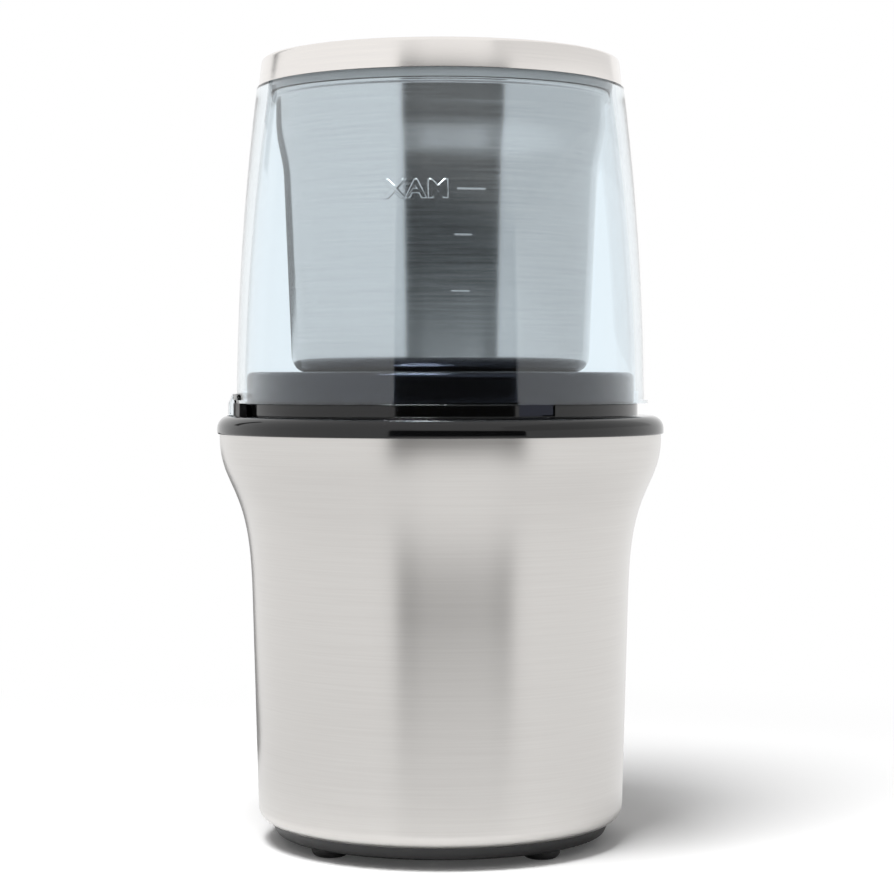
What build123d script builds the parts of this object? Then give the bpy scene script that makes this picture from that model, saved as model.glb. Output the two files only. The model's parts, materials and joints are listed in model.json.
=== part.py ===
from build123d import *
from math import atan2, cos, degrees, hypot, radians, sin, sqrt, tan
import os

# Electric spice grinder with a lift-out steel cup. Millimetres and degrees.
# Z is the axis of the grinder, Z = 0 is the surface it stands on, and its front faces -Y.
# An azimuth is counted from the front, towards +X. The push rod that the lid works is on -X.

os.makedirs("parts", exist_ok=True)

# Clearances
SLIDE = 0.3            # between parts that slide on, or lift off, one another
RUN = 0.03             # radial, between a shaft and its bearing
FIT = 0.05             # radial, between a part and the seat it is pressed or screwed into
LASH = 0.4             # between the teeth of the drive, so the cup drops into mesh
PAST = 1.0             # how far a cutting or joining shape runs past the face it meets

# Feet and base plate
foot_height = 2.2
foot_radius = 4.6
foot_round = 1.8
foot_angles = (45, 135, 225, 315)
foot_sink = 1.0
stem_radius = 1.9
stem_barb = 0.5
stem_inset = 0.3
base_wall = 2.0
base_rim_height = 3.0
base_rim_radius = 42.6
base_draft = 1.4
spigot_wall = 2.0
spigot_height = 2.2
vent_inner_circle = 13.0
vent_inner_length = 7.0
vent_inner_count = 10
vent_outer_circle = 22.5
vent_outer_length = 7.5
vent_outer_count = 18
vent_width = 2.2

# Steel body shell
shell_wall = 0.8
shell_height = 97.4
shell_foot_radius = 45.6
shell_taper = 1.57
shell_bend = 3.8
shell_flange = 1.0
straight_height = 66.8
flare_land = 1.6
cord_height = 15.0
cord_bore = 3.25
gland_wall = 1.6
gland_flange = 2.0
gland_rim = 2.1

# Upper housing: ring, neck, ledge and bowl
neck_radius = 49.4
neck_wall = 2.5
neck_height = 3.3
ring_width = 6.5
ring_height = 4.6
ring_round = 3.2
ring_lip = 0.65
ring_skirt = 0.8
shell_tuck = 0.8
housing_wall = 2.2
ledge_depth = 3.9
bowl_radius = 38.0
bowl_depth = 9.0
floor_wall = 2.5
drip_bore = 5.2
drip_wall = 2.0
drip_height = 3.0
post_radius = 4.0
post_inset = 1.2
post_angles = (0, 120, 240)
core_radius = 1.55
core_depth = 14.0
key_width = 9.6
key_angles = (30, 150, 270)
key_sill = 0.3
key_setback = 0.5

# Lid press at the left side
press_travel = 2.6
press_stop = 0.5
press_angle = 270
trough_width = 4.0
trough_half_angle = 24.0
trough_depth = 3.4
pusher_half_angle = 22.0
pusher_gap = 0.8
pusher_wall = 1.8
pusher_drop = 0.5
tab_half_angle = 13.0
tab_wall = 1.0
tab_rise = 2.2
tab_drop = 3.0
rod_width = 10.0
rod_wall = 1.6
rod_stand = 1.0

# Cup and collar
collar_setback = 0.95
collar_height = 7.4
collar_round = 1.4
collar_wall = 2.5
collar_skirt = 6.9
collar_rib_wall = 2.0
collar_ribs = 6
cup_height = 68.8
cup_wall = 0.8
cup_base_radius = 37.1
cup_body_height = 50.8
cup_shoulder_height = 8.8
cup_step = 1.9
cup_bend = 4.0
cup_shoulder_bend = 8.0
cup_lip = 1.2
cup_lip_height = 1.3

# Lid
cap_radius = 45.4
cap_top_inset = 0.8
cap_height = 7.2
cap_wall = 0.8
cap_round = 1.0
lid_wall = 2.0
lid_guide = 0.55
lid_bulge = 1.1
lid_roof = 2.4
lid_neck_wall = 1.7
lid_shade = 0.45
lid_rim_height = 0.8
lid_rim_width = 0.95
lip_gap = 0.5
seal_height = 2.8
seal_width = 2.6

# Blade and drive
shaft_radius = 3.0
washer_height = 0.8
bush_wall = 3.0
bush_flange_radius = 9.0
bush_flange_height = 1.5
bush_head_wall = 4.0
bush_head_height = 1.6
lip_seal_wall = 2.2
lip_seal_sink = 2.4
nut_height = 3.5
nut_radius = 9.2
blade_length = 56.0
blade_width = 11.0
blade_wall = 1.6
blade_flat = 26.0
blade_rise = 15.0
blade_nut_radius = 5.6
blade_nut_height = 5.0
blade_nut_cap = 1.1
blade_lift = 1.2
clip_wall = 0.5
clip_radius = 5.0
tooth_count = 8
tooth_root = 6.0
tooth_height = 2.2
tooth_length = 5.0
coupler_wall = 2.4
coupler_web = 2.0
coupler_skirt_gap = 0.8

# Motor
motor_stand = 8.8
fan_space = 12.5
fan_radius = 23.0
fan_height = 8.5
fan_hub = 6.0
fan_wall = 1.2
fan_blades = 9
bracket_wall = 3.0
bracket_radius = 27.0
bearing_radius = 8.0
bearing_height = 6.0
bearing_wall = 3.0
bearing_lip = 1.5
spoke_width = 7.0
ear_circle = 30.5
ear_angles = (90, 210, 330)
ear_radius = 5.2
damper_radius = 4.9
damper_neck = 3.2
damper_flange = 1.8
damper_bore = 1.8
screw_radius = 1.5
screw_head_radius = 3.1
screw_head_height = 2.2
leg_height = 13.5
leg_radius = 3.4
stack_radius = 27.0
yoke_wall = 4.5
bolt_circle = 24.7
bolt_radius = 1.6
pole_half_width = 8.0
pole_half_angle = 58.0
shoe_wall = 2.1
air_gap = 0.5
rotor_radius = 15.2
rotor_slots = 12
slot_width = 3.2
slot_mouth = 1.2
slot_top = 1.4
slot_bottom = 7.0
coil_width = 6.2
coil_reach = 7.0
coil_gap = 0.25
winding_height = 5.5
commutator_radius = 9.0
commutator_height = 12.0
commutator_bars = 12
commutator_groove = 0.5
riser_height = 2.0
riser_rise = 1.4
lower_leg = 20.0
lower_hub = 9.0
brush_width = 5.0
brush_depth = 6.0
brush_length = 8.0
brush_box_wall = 1.2
brush_box_length = 14.0
brush_gap = 0.3
brush_pad_inset = 3.0
spring_wire = 0.3

# Switch and push rod
switch_width = 19.8
switch_height = 10.2
switch_wall = 6.4
switch_holes = 9.5
switch_hole_radius = 1.2
switch_hole_height = 2.9
button_radius = 1.2
button_reach = 6.5
button_rise = 1.35
lever_wall = 0.4
lever_width = 4.0
lever_length = 17.6
lever_reach = 16.0
lever_angle = 8.53
pivot_rise = 0.7
pivot_inset = 1.5
pivot_half = 1.2
pivot_ear_wall = 0.9
button_sink = 1.5
small_head_radius = 2.2
small_head_height = 1.4
terminal_pitch = 7.5
terminal_half_width = 1.6
terminal_half_wall = 0.3
terminal_length = 5.0
switch_offset = 8.0
foot_drop = 11.0
rod_foot_height = 2.0
rod_web_height = 2.5
rod_leg_wall = 1.8
rod_leg_width = 2.4
rod_leg_gap = 3.0
lug_height = 2.0
lug_drop = 5.0
hanger_wall = 1.8
hanger_width = 22.0
hanger_screw_inset = 2.6
coil_spring_wire = 0.5
coil_spring_turns = 5

# Levels, from the floor up
z_base = foot_height
z_shell = z_base + base_rim_height
z_post = z_shell + shell_wall + spigot_height
z_shell_top = z_shell + shell_height
z_ring = z_shell_top - shell_tuck
z_ring_top = z_ring + ring_height
z_neck = z_ring_top + neck_height
z_trough = z_ring_top - trough_depth
z_skirt = z_ring - ring_skirt
z_ledge = z_ring_top - ledge_depth
z_ledge_low = z_ledge - housing_wall
z_floor = z_ledge - bowl_depth
z_floor_low = z_floor - floor_wall
z_collar = z_neck + FIT
z_cup = z_collar + collar_height
z_cup_floor = z_cup + cup_wall
z_cup_rim = z_cup + cup_height
z_seal = z_cup_rim + press_travel + SLIDE
z_ceiling = z_seal + seal_height
z_roof = z_ceiling + lid_roof
z_cap_top = z_roof + cap_wall
z_cap = z_cap_top - cap_height
z_lid_rim = z_ring_top + press_travel + press_stop

# Radii, from the neck out and in
ring_radius = neck_radius + ring_width
shell_top_radius = ring_radius - ring_lip
neck_bore = neck_radius - neck_wall
collar_radius = neck_radius - collar_setback
lid_low_inner = collar_radius + lid_guide
lid_low_radius = lid_low_inner + lid_wall
lid_top_radius = cap_radius + lid_shade
lid_neck_radius = cap_radius - cap_wall - FIT
lid_neck_inner = lid_neck_radius - lid_neck_wall
cup_lip_radius = lid_neck_inner - lip_gap
cup_mouth_radius = cup_lip_radius - cup_lip
cup_body_radius = cup_mouth_radius - cup_step
flange_radius = shell_foot_radius - shell_bend - shell_flange
spigot_bore = flange_radius - FIT - spigot_wall
foot_circle = spigot_bore - stem_radius - stem_barb - stem_inset
post_circle = spigot_bore - post_radius - post_inset
bush_radius = shaft_radius + RUN + bush_wall
rod_radius = neck_radius + pusher_gap

BOTTOM = (Align.CENTER, Align.CENTER, Align.MIN)


def turned(*corners):
    """A solid turned about Z from the corners of its section: radius, height, rounding."""
    points = [(radius, height) for radius, height, _ in corners]
    roundings = [rounding for _, _, rounding in corners]
    outline = FilletPolyline(*points, radius=roundings, close=True)
    return revolve(Plane.XZ * make_face(outline), Axis.Z)


def rod(radius, low, high):
    """A plain round bar on the axis."""
    return Pos(0, 0, low) * Cylinder(radius, high - low, align=BOTTOM)


def tube(bore, radius, low, high):
    """A plain round tube on the axis."""
    return rod(radius, low, high) - rod(bore, low, high)


def block(x, y, z):
    """A box between pairs of X, Y and Z."""
    size = [high - low for low, high in (x, y, z)]
    return Pos(x[0], y[0], z[0]) * Box(*size, align=(Align.MIN, Align.MIN, Align.MIN))


def hex_bar(radius, low, high):
    """A hexagonal bar on the axis, radius across the flats."""
    return Pos(0, 0, low) * extrude(RegularPolygon(radius, 6, major_radius=False), high - low)


def around(radius, azimuths):
    """Places on a circle, each with its own -Y pointing outwards."""
    return [Rot(0, 0, azimuth) * Pos(0, -radius, 0) for azimuth in azimuths]


def group(shapes):
    """Separate solids kept together in one node."""
    return Compound([solid for shape in shapes for solid in shape.solids()])


def sector(bore, radius, low, high, azimuth, half_angle):
    """Part of a tube, to either side of an azimuth."""
    section = Plane.XZ * Pos((bore + radius) / 2, (low + high) / 2) * Rectangle(radius - bore, high - low)
    arc = revolve(section, Axis.Z, revolution_arc=2 * half_angle)
    return Rot(0, 0, azimuth - 90 - half_angle) * arc


# ---------------------------------------------------------------- base

def shell_radius(height):
    """Outer radius of the shell's straight taper at a height."""
    return shell_foot_radius + (height - z_shell) * tan(radians(shell_taper))


def shell_side(inset):
    """One face of the shell's wall in section: bend, straight taper, flare and upright land."""
    z_waist = z_shell + straight_height
    z_land = z_shell_top - flare_land
    waist = shell_radius(z_waist) - inset
    top = shell_top_radius - inset
    lean = tan(radians(shell_taper))
    pull = (z_land - z_waist) / 3
    corner = (shell_foot_radius - inset, z_shell + inset)
    foot = FilletPolyline(
        (flange_radius, z_shell + inset), corner, (waist, z_waist), radius=[shell_bend - inset])
    flare = Bezier(
        (waist, z_waist), (waist + lean * pull, z_waist + pull), (top, z_land - pull), (top, z_land))
    return [*foot.edges(), flare, Line((top, z_land), (top, z_shell_top))]


def body_shell():
    """Spun steel shell, open at the top, with an inward flange that the base plate closes."""
    edge = Line((shell_top_radius, z_shell_top), (shell_top_radius - shell_wall, z_shell_top))
    lip = Line((flange_radius, z_shell), (flange_radius, z_shell + shell_wall))
    section = make_face([*shell_side(0), edge, *shell_side(shell_wall), lip])
    shell = revolve(Plane.XZ * section, Axis.Z)
    hole = Pos(0, shell_radius(cord_height), cord_height) * Rot(90, 0, 0)
    return shell - hole * Cylinder(cord_bore + gland_wall + FIT, 4 * shell_wall)


def cord_gland():
    """Snap-in bush for the mains lead, through the back of the shell."""
    barrel = cord_bore + gland_wall
    face = shell_radius(cord_height + barrel + gland_rim) + FIT
    clip = barrel + gland_rim / 2
    shell_inside = shell_radius(cord_height - barrel) - shell_wall
    snap = sqrt(shell_inside ** 2 - clip ** 2) - SLIDE
    inner = snap - gland_flange
    bush = turned(
        (cord_bore, inner, 0.3), (clip, inner, 0.5), (clip, snap, 0),
        (barrel, snap, 0), (barrel, face, 0), (barrel + gland_rim, face, 0),
        (barrel + gland_rim, face + gland_flange, 0.9), (cord_bore, face + gland_flange, 0.6))
    return Pos(0, 0, cord_height) * Rot(-90, 0, 0) * bush


def vents(circle, count, length):
    """One ring of radial vent slots, in plan."""
    slot = SlotOverall(length, vent_width)
    return Sketch() + [place * slot for place in PolarLocations(circle, count)]


def base_plate():
    """Moulded plate that closes the shell, with vents, screw bosses and a rim that shows."""
    spigot = flange_radius - FIT
    floor = z_base + base_wall
    plate = turned(
        (0, z_base, 0), (base_rim_radius - base_draft, z_base, 0.8), (base_rim_radius, z_shell, 0),
        (spigot, z_shell, 0), (spigot, z_post, 0.4), (spigot_bore, z_post, 0.4), (spigot_bore, floor, 0.6),
        (0, floor, 0))
    for place in around(post_circle, post_angles):
        plate += place * rod(post_radius, floor, z_post)
        plate -= place * rod(screw_radius + SLIDE, z_base, z_post)
        plate -= place * rod(screw_head_radius + SLIDE, z_base, z_base + screw_head_height)
    for place in around(foot_circle, foot_angles):
        plate -= place * rod(foot_radius + FIT, z_base, z_base + foot_sink)
        plate -= place * rod(stem_radius + FIT, z_base, floor)
    for slots in (vents(vent_inner_circle, vent_inner_count, vent_inner_length),
                  vents(vent_outer_circle, vent_outer_count, vent_outer_length)):
        plate -= Pos(0, 0, z_base) * extrude(slots, base_wall)
    return plate


def feet():
    """Four rubber feet, each with a stem that snaps through the base plate."""
    seat = z_base + foot_sink
    inside = z_base + base_wall
    barb = stem_radius + stem_barb
    foot = turned(
        (0, 0, 0), (foot_radius, 0, foot_round), (foot_radius, seat, 0), (stem_radius, seat, 0),
        (stem_radius, inside, 0), (barb, inside, 0.2), (stem_radius - stem_barb, inside + 2 * stem_barb, 0.2),
        (0, inside + 2 * stem_barb, 0))
    return group([place * foot for place in around(foot_circle, foot_angles)])


def pan_screw(low, high):
    """Pan-head screw, head down, from the seat of its head to its tip."""
    return turned(
        (0, low - screw_head_height, 0), (screw_head_radius, low - screw_head_height, 0.9),
        (screw_head_radius, low, 0), (screw_radius, low, 0), (screw_radius, high, 0.4), (0, high, 0))


def base_screws():
    """Three screws up through the base plate into the posts of the upper housing."""
    screw = pan_screw(z_base + screw_head_height, z_post + core_depth - 2)
    return group([place * screw for place in around(post_circle, post_angles)])


# ---------------------------------------------------------------- upper housing

def upper_housing():
    """One moulding: top ring, neck with three key notches, bowl, posts and motor bosses."""
    shell_inner = shell_top_radius - shell_wall - FIT
    groove = shell_top_radius + FIT
    bowl_outer = bowl_radius + housing_wall
    drip_outer = drip_bore + drip_wall
    housing = turned(
        (ring_radius, z_ring, 0.5), (ring_radius, z_ring_top, ring_round), (neck_radius, z_ring_top, 0.3),
        (neck_radius, z_neck, 0.5), (neck_bore, z_neck, 0.5), (neck_bore, z_ledge, 0.5),
        (bowl_radius, z_ledge, 1.0), (bowl_radius, z_floor, 1.5), (drip_outer, z_floor, 0.4),
        (drip_outer, z_floor + drip_height, 0.5), (drip_bore, z_floor + drip_height, 0.5),
        (drip_bore, z_floor_low, 0), (bowl_outer, z_floor_low, 1.0), (bowl_outer, z_ledge_low, 0.6),
        (neck_bore, z_ledge_low, 0), (neck_bore, z_skirt, 0), (shell_inner, z_skirt, 0),
        (shell_inner, z_shell_top + FIT, 0), (groove, z_shell_top + FIT, 0), (groove, z_ring, 0))
    notch = block((-key_width / 2, key_width / 2), (-neck_radius - PAST, -neck_bore + PAST),
                  (z_ring_top + key_sill, z_neck + PAST))
    for azimuth in key_angles:
        housing -= Rot(0, 0, azimuth) * notch
    trough = neck_radius + trough_width
    housing -= sector(neck_radius, trough, z_trough, z_ring_top + PAST, press_angle, trough_half_angle)
    guide = (rod_width / 2 + SLIDE, rod_radius - SLIDE, rod_radius + pusher_wall + SLIDE)
    hole = block((-guide[0], guide[0]), (-guide[2], -guide[1]), (z_skirt - PAST, z_trough + PAST))
    housing -= Rot(0, 0, press_angle) * hole
    for place in around(post_circle, post_angles):
        housing += place * rod(post_radius, z_post, z_floor_low)
        housing -= place * rod(core_radius, z_post, z_post + core_depth)
    for place in around(ear_circle, ear_angles):
        housing += place * rod(post_radius, z_boss, z_floor_low)
        housing -= place * rod(core_radius, z_boss, z_floor_low - PAST)
    for side in (-1, 1):
        pilot = Pos(-hanger_screw_x, side * hanger_screw_y, 0)
        housing -= pilot * rod(switch_hole_radius + FIT, z_floor_low, z_floor - PAST)
    return housing


# ---------------------------------------------------------------- lid

def lid_side(bottom, top, low, high):
    """A bowed side of the lid in section, between two radii at two heights."""
    middle = ((bottom + top) / 2 + lid_bulge, (low + high) / 2)
    return ThreePointArc((bottom, low), middle, (top, high))


def lid_cover():
    """Clear moulded lid: bowed wall, thick shoulder, roof, bottom rim and the thumb tab."""
    z_relief = z_neck + press_travel + SLIDE
    relief = neck_radius + SLIDE
    rim = lid_low_radius + lid_rim_width
    z_rim_top = z_lid_rim + lid_rim_height
    shoulder = 2 * lid_neck_wall
    z_inner_top = z_cap - shoulder
    inner_top = lid_top_radius - lid_wall - lid_shade
    corners = [
        Line((lid_low_radius, z_rim_top), (rim, z_rim_top)), Line((rim, z_rim_top), (rim, z_lid_rim)),
        Line((rim, z_lid_rim), (relief, z_lid_rim)), Line((relief, z_lid_rim), (relief, z_relief)),
        Line((relief, z_relief), (lid_low_inner, z_relief)),
        lid_side(lid_low_inner, inner_top, z_relief, z_inner_top),
        Line((inner_top, z_inner_top), (lid_neck_inner, z_cap)),
        Line((lid_neck_inner, z_cap), (lid_neck_inner, z_ceiling)),
        Line((lid_neck_inner, z_ceiling), (0, z_ceiling)), Line((0, z_ceiling), (0, z_roof)),
        Line((0, z_roof), (lid_neck_radius - cap_top_inset, z_roof)),
        Line((lid_neck_radius - cap_top_inset, z_roof), (lid_neck_radius, z_cap)),
        Line((lid_neck_radius, z_cap), (lid_top_radius, z_cap)),
        lid_side(lid_low_radius, lid_top_radius, z_rim_top, z_cap)]
    cover = revolve(Plane.XZ * make_face(corners), Axis.Z)
    return cover + thumb_tab(rim, z_rim_top)


def thumb_tab(rim, z_rim_top):
    """Curved tab outside the rim, above the trough of the ring."""
    inner = rod_radius + pusher_wall + FIT
    outer = neck_radius + trough_width - SLIDE
    fin = make_face(FilletPolyline(
        (inner, z_lid_rim - tab_drop), (outer, z_lid_rim - tab_drop), (outer, z_lid_rim),
        (outer - tab_wall, z_lid_rim + tab_rise), (inner, z_rim_top), (rim - tab_wall, z_rim_top),
        (rim - tab_wall, z_lid_rim), (inner, z_lid_rim),
        radius=[0.2, 0.3, 2.0, 0.1, 0, 0, 0, 0.1], close=True))
    arc = revolve(Plane.XZ * fin, Axis.Z, revolution_arc=2 * tab_half_angle)
    return Rot(0, 0, press_angle - 90 - tab_half_angle) * arc


def lid_pusher():
    """Arc-shaped block under the rim of the lid, with a finger that reaches the push rod."""
    outer = rod_radius + pusher_wall
    low = z_ring_top - pusher_drop
    pusher = sector(rod_radius, outer, low, z_lid_rim, press_angle, pusher_half_angle)
    finger = block((-rod_width / 2, rod_width / 2), (-outer, -rod_radius),
                   (z_trough + rod_stand + SLIDE, z_lid_rim))
    pusher += Rot(0, 0, press_angle) * (finger & tube(rod_radius, outer, z_trough, z_lid_rim))
    groove = Pos(0, -outer, low) * Box(0.6, 0.6, z_lid_rim - low, align=BOTTOM)
    for step in (-3, -2, 2, 3):
        pusher -= Rot(0, 0, press_angle + step * pusher_half_angle / 4) * groove
    return pusher


def lid_cap():
    """Spun steel cap over the top of the lid."""
    return turned(
        (0, z_roof, 0), (lid_neck_radius + FIT - cap_top_inset, z_roof, 0), (lid_neck_radius + FIT, z_cap, 0),
        (cap_radius, z_cap, 0.2), (cap_radius - cap_top_inset, z_cap_top, cap_round), (0, z_cap_top, 0))


def lid_seal():
    """Silicone ring under the roof of the lid, over the lip of the cup."""
    outer = lid_neck_inner - FIT
    return turned(
        (outer - seal_width, z_seal, 0.6), (outer, z_seal, 0.6), (outer, z_ceiling, 0),
        (outer - seal_width, z_ceiling, 0))


# ---------------------------------------------------------------- cup

def grinding_cup():
    """Deep-drawn steel cup: round bottom bend, tapered body, shoulder, straight mouth, rolled lip."""
    z_body = z_cup + cup_body_height
    z_mouth = z_body + cup_shoulder_height
    z_lip = z_cup_rim - cup_lip_height
    round_in = cup_shoulder_bend - cup_wall
    cup = turned(
        (bush_radius + FIT, z_cup, 0), (cup_base_radius, z_cup, cup_bend),
        (cup_body_radius, z_body, cup_shoulder_bend),
        (cup_mouth_radius, z_mouth, round_in), (cup_mouth_radius, z_lip, 0.3), (cup_lip_radius, z_lip, 0.5),
        (cup_lip_radius, z_cup_rim, 0.6), (cup_mouth_radius - cup_wall, z_cup_rim, 0.6),
        (cup_mouth_radius - cup_wall, z_mouth, cup_shoulder_bend),
        (cup_body_radius - cup_wall, z_body, round_in),
        (cup_base_radius - cup_wall, z_cup_floor, cup_bend - cup_wall), (bush_radius + FIT, z_cup_floor, 0))
    return cup


def cup_collar():
    """Moulded collar under the cup: disc, skirt that plugs into the neck, ribs and three keys."""
    skirt = neck_bore - SLIDE
    under = z_cup - collar_wall
    low = z_collar - collar_skirt + FIT
    hub = nut_radius / cos(radians(30)) + 2 * SLIDE
    collar = turned(
        (bush_radius + FIT, z_cup, 0), (collar_radius, z_cup, collar_round), (collar_radius, z_collar, 0.3),
        (skirt, z_collar, 0), (skirt, low, 0.6), (skirt - collar_wall, low, 0.4),
        (skirt - collar_wall, under, 0.8), (bush_radius + FIT, under, 0))
    collar += tube(hub, hub + collar_rib_wall, low, under)
    rib = block((-collar_rib_wall / 2, collar_rib_wall / 2), (-skirt + PAST, -hub - PAST),
                (low + PAST, under))
    for index in range(collar_ribs):
        collar += Rot(0, 0, index * 360 / collar_ribs) * rib
    half_key = key_width / 2 - SLIDE
    face = neck_radius - key_setback
    key = block((-half_key, half_key), (-face - PAST, -skirt + collar_wall / 2),
                (z_ring_top + key_sill + SLIDE, z_collar + PAST))
    key &= rod(face, z_trough, z_cup)
    for azimuth in key_angles:
        collar += Rot(0, 0, azimuth) * key
    return collar


def floor_washer():
    """Rubber washer between the cup floor and the flange of the bush."""
    return tube(bush_radius + FIT, bush_flange_radius, z_cup_floor, z_washer)


def shaft_bush():
    """Bronze bush that clamps the cup to its collar and carries the blade shaft."""
    head = bush_radius + bush_head_wall - bush_wall
    pocket = shaft_radius + lip_seal_wall + FIT
    return turned(
        (shaft_radius + RUN, z_bush_low, 0), (bush_radius, z_bush_low, 0.4), (bush_radius, z_washer, 0),
        (bush_flange_radius, z_washer, 0), (bush_flange_radius, z_washer + bush_flange_height, 0.5),
        (head, z_washer + bush_flange_height, 0.3), (head, z_head, 0.4), (pocket, z_head, 0),
        (pocket, z_head - lip_seal_sink, 0), (shaft_radius + RUN, z_head - lip_seal_sink, 0))


def bush_nut():
    """Hexagon nut that draws the bush down, under the top of the collar."""
    high = z_cup - collar_wall
    return hex_bar(nut_radius, high - nut_height, high) - rod(bush_radius + FIT, high - nut_height, high)


def shaft_seal():
    """Lip seal in the head of the bush, just clear of the shaft."""
    outer = shaft_radius + lip_seal_wall
    low = z_head - lip_seal_sink
    return turned(
        (shaft_radius + RUN, low, 0), (outer, low, 0), (outer, z_head, 0),
        (shaft_radius + lip_seal_wall / 2, z_head + 0.3, 0.1), (shaft_radius + RUN, z_head, 0))


def blade_shaft():
    """Shaft of the blade, from the cup's coupler up through the bush."""
    high = z_blade + blade_wall + blade_nut_height - blade_lift
    return turned(
        (0, z_socket_roof, 0), (shaft_radius, z_socket_roof, 0.3), (shaft_radius, high, 0.4), (0, high, 0))


def shaft_clip():
    """Thrust washer clipped on the shaft between the coupler and the bush."""
    return tube(shaft_radius + FIT, clip_radius, z_bush_low - SLIDE - clip_wall, z_bush_low - SLIDE)


def blade():
    """Two-winged blade: flat middle, wings bent up at their ends, one edge of each ground."""
    half = blade_length / 2
    flat = blade_flat / 2
    rise = (half - flat) * tan(radians(blade_rise))
    side = Plane.XZ * make_face(Polyline(
        (-half, z_blade + rise), (-flat, z_blade), (flat, z_blade), (half, z_blade + rise),
        (half, z_blade + rise + blade_wall), (flat, z_blade + blade_wall),
        (-flat, z_blade + blade_wall), (-half, z_blade + rise + blade_wall), close=True))
    strip = extrude(side, blade_width / 2, both=True)
    quarter = blade_width / 2
    plan = make_face(Polyline(
        (-half, quarter), (-flat, quarter), (flat, quarter), (half, 0),
        (half, -quarter), (flat, -quarter), (-flat, -quarter), (-half, 0), close=True))
    wings = strip & (Pos(0, 0, z_blade - PAST) * extrude(plan, rise + blade_wall + 2 * PAST))
    grind = Box(half, 2.5 * blade_wall, blade_wall, align=(Align.MIN, Align.CENTER, Align.MIN))
    slope = degrees(atan2(rise, half - flat))
    edge = Pos(flat, -quarter, z_blade + blade_wall) * Rot(0, -slope, 0) * Rot(-35, 0, 0) * grind
    for turn in (0, 180):
        wings -= Rot(0, 0, turn) * edge
    return wings - rod(shaft_radius + FIT, z_blade - PAST, z_blade + blade_wall + PAST)


def blade_hub():
    """Steel hub under the blade, riding just above the shaft seal."""
    return tube(shaft_radius + FIT, blade_nut_radius, z_head + 2 * SLIDE, z_blade)


def blade_nut():
    """Domed cap nut that holds the blade on its shaft."""
    low = z_blade + blade_wall
    nut = hex_bar(blade_nut_radius, low, low + blade_nut_height)
    high = low + blade_nut_height
    dome = turned(
        (0, low, 0), (blade_nut_radius + 0.9, low, 0), (blade_nut_radius + 0.6, high, 3.0), (0, high, 0))
    return (nut & dome) - rod(shaft_radius + FIT, low, high - blade_nut_cap)


# ---------------------------------------------------------------- drive

def toothed(root, tip, narrow, low, high):
    """A round bar with straight teeth, each narrower than its share of the circle."""
    bar = rod(root, low, high)
    share = 180 / tooth_count
    width = 2 * root * sin(radians(share / 2)) - narrow
    tooth = block((-width / 2, width / 2), (-tip, -root / 2), (low, high))
    bar += [Rot(0, 0, index * 2 * share) * tooth for index in range(tooth_count)]
    return bar & rod(tip, low, high)


def drive_coupler():
    """Toothed plug on the motor shaft, with a skirt over the drip ring of the bowl."""
    skirt_bore = drip_bore + drip_wall + coupler_skirt_gap
    skirt = skirt_bore + coupler_wall
    low = z_floor + coupler_skirt_gap
    plug = toothed(tooth_root, tooth_root + tooth_height, 0, z_web, z_plug_top)
    plug += turned(
        (0, z_web, 0), (0, z_web - coupler_web, 0), (skirt_bore, z_web - coupler_web, 0.4),
        (skirt_bore, low, 0), (skirt, low, 0.3), (skirt, z_web, 0.6))
    return plug - rod(shaft_radius + FIT, z_web - coupler_web, z_plug_top - 1.5)


def cup_coupler():
    """Toothed socket on the blade shaft, which drops over the plug."""
    outer = tooth_root + tooth_height + LASH + coupler_wall
    socket = turned(
        (0, z_socket, 0), (outer, z_socket, 0.4), (outer, z_coupler_top, 1.0), (0, z_coupler_top, 0))
    socket -= toothed(tooth_root + LASH, tooth_root + tooth_height + LASH, -2 * LASH, z_socket, z_socket_roof)
    return socket - rod(shaft_radius + FIT, z_socket_roof, z_coupler_top)


def motor_shaft():
    """Steel shaft from the lower bearing to the plug of the drive."""
    high = z_plug_top - 2.0
    return turned(
        (0, z_shaft_low, 0), (shaft_radius, z_shaft_low, 0.4), (shaft_radius, high, 0.4), (0, high, 0))


# ---------------------------------------------------------------- motor

def bearing(low):
    """Self-aligning sintered bush, rounded outside."""
    high = low + bearing_height
    return turned(
        (shaft_radius + RUN, low, 0.2), (bearing_radius, low, 1.8), (bearing_radius, high, 1.8),
        (shaft_radius + RUN, high, 0.2))


def spider(low, legs_up, hub_low, hub_high):
    """Cast bracket: rim, four spokes, hub with a bearing seat and two legs on the stator."""
    high = low + bracket_wall
    hub = bearing_radius + bearing_wall
    body = tube(bracket_radius - leg_radius, bracket_radius, low, high)
    spoke = block((-bracket_radius + 1, bracket_radius - 1), (-spoke_width / 2, spoke_width / 2), (low, high))
    body += spoke + Rot(0, 0, 90) * spoke + rod(hub, hub_low, hub_high)
    leg = (high, high + legs_up) if legs_up > 0 else (low + legs_up, low)
    for place in around(bolt_circle, (0, 180)):
        body += place * rod(leg_radius, min(low, *leg), max(high, *leg))
        body -= place * rod(bolt_radius + FIT, min(low, *leg), max(high, *leg))
    return body


def motor_top_bracket():
    """Upper bracket of the motor, with three ears that hang from the housing."""
    low = z_bracket - bracket_wall
    hub_low = z_bracket - bearing_height - bearing_lip
    body = spider(low, -leg_height, hub_low, z_bracket)
    for azimuth in ear_angles:
        web = block((-spoke_width / 2, spoke_width / 2), (-ear_circle, -bracket_radius + 1), (low, z_bracket))
        place = Pos(0, -ear_circle, 0)
        body += Rot(0, 0, azimuth) * (web + place * rod(ear_radius, low, z_bracket))
        body -= Rot(0, 0, azimuth) * (place * rod(damper_neck + FIT, low, z_bracket))
    body -= rod(bearing_radius + FIT, hub_low + bearing_lip, z_bracket)
    return body - rod(bearing_radius - bearing_wall, hub_low, z_bracket)


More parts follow.
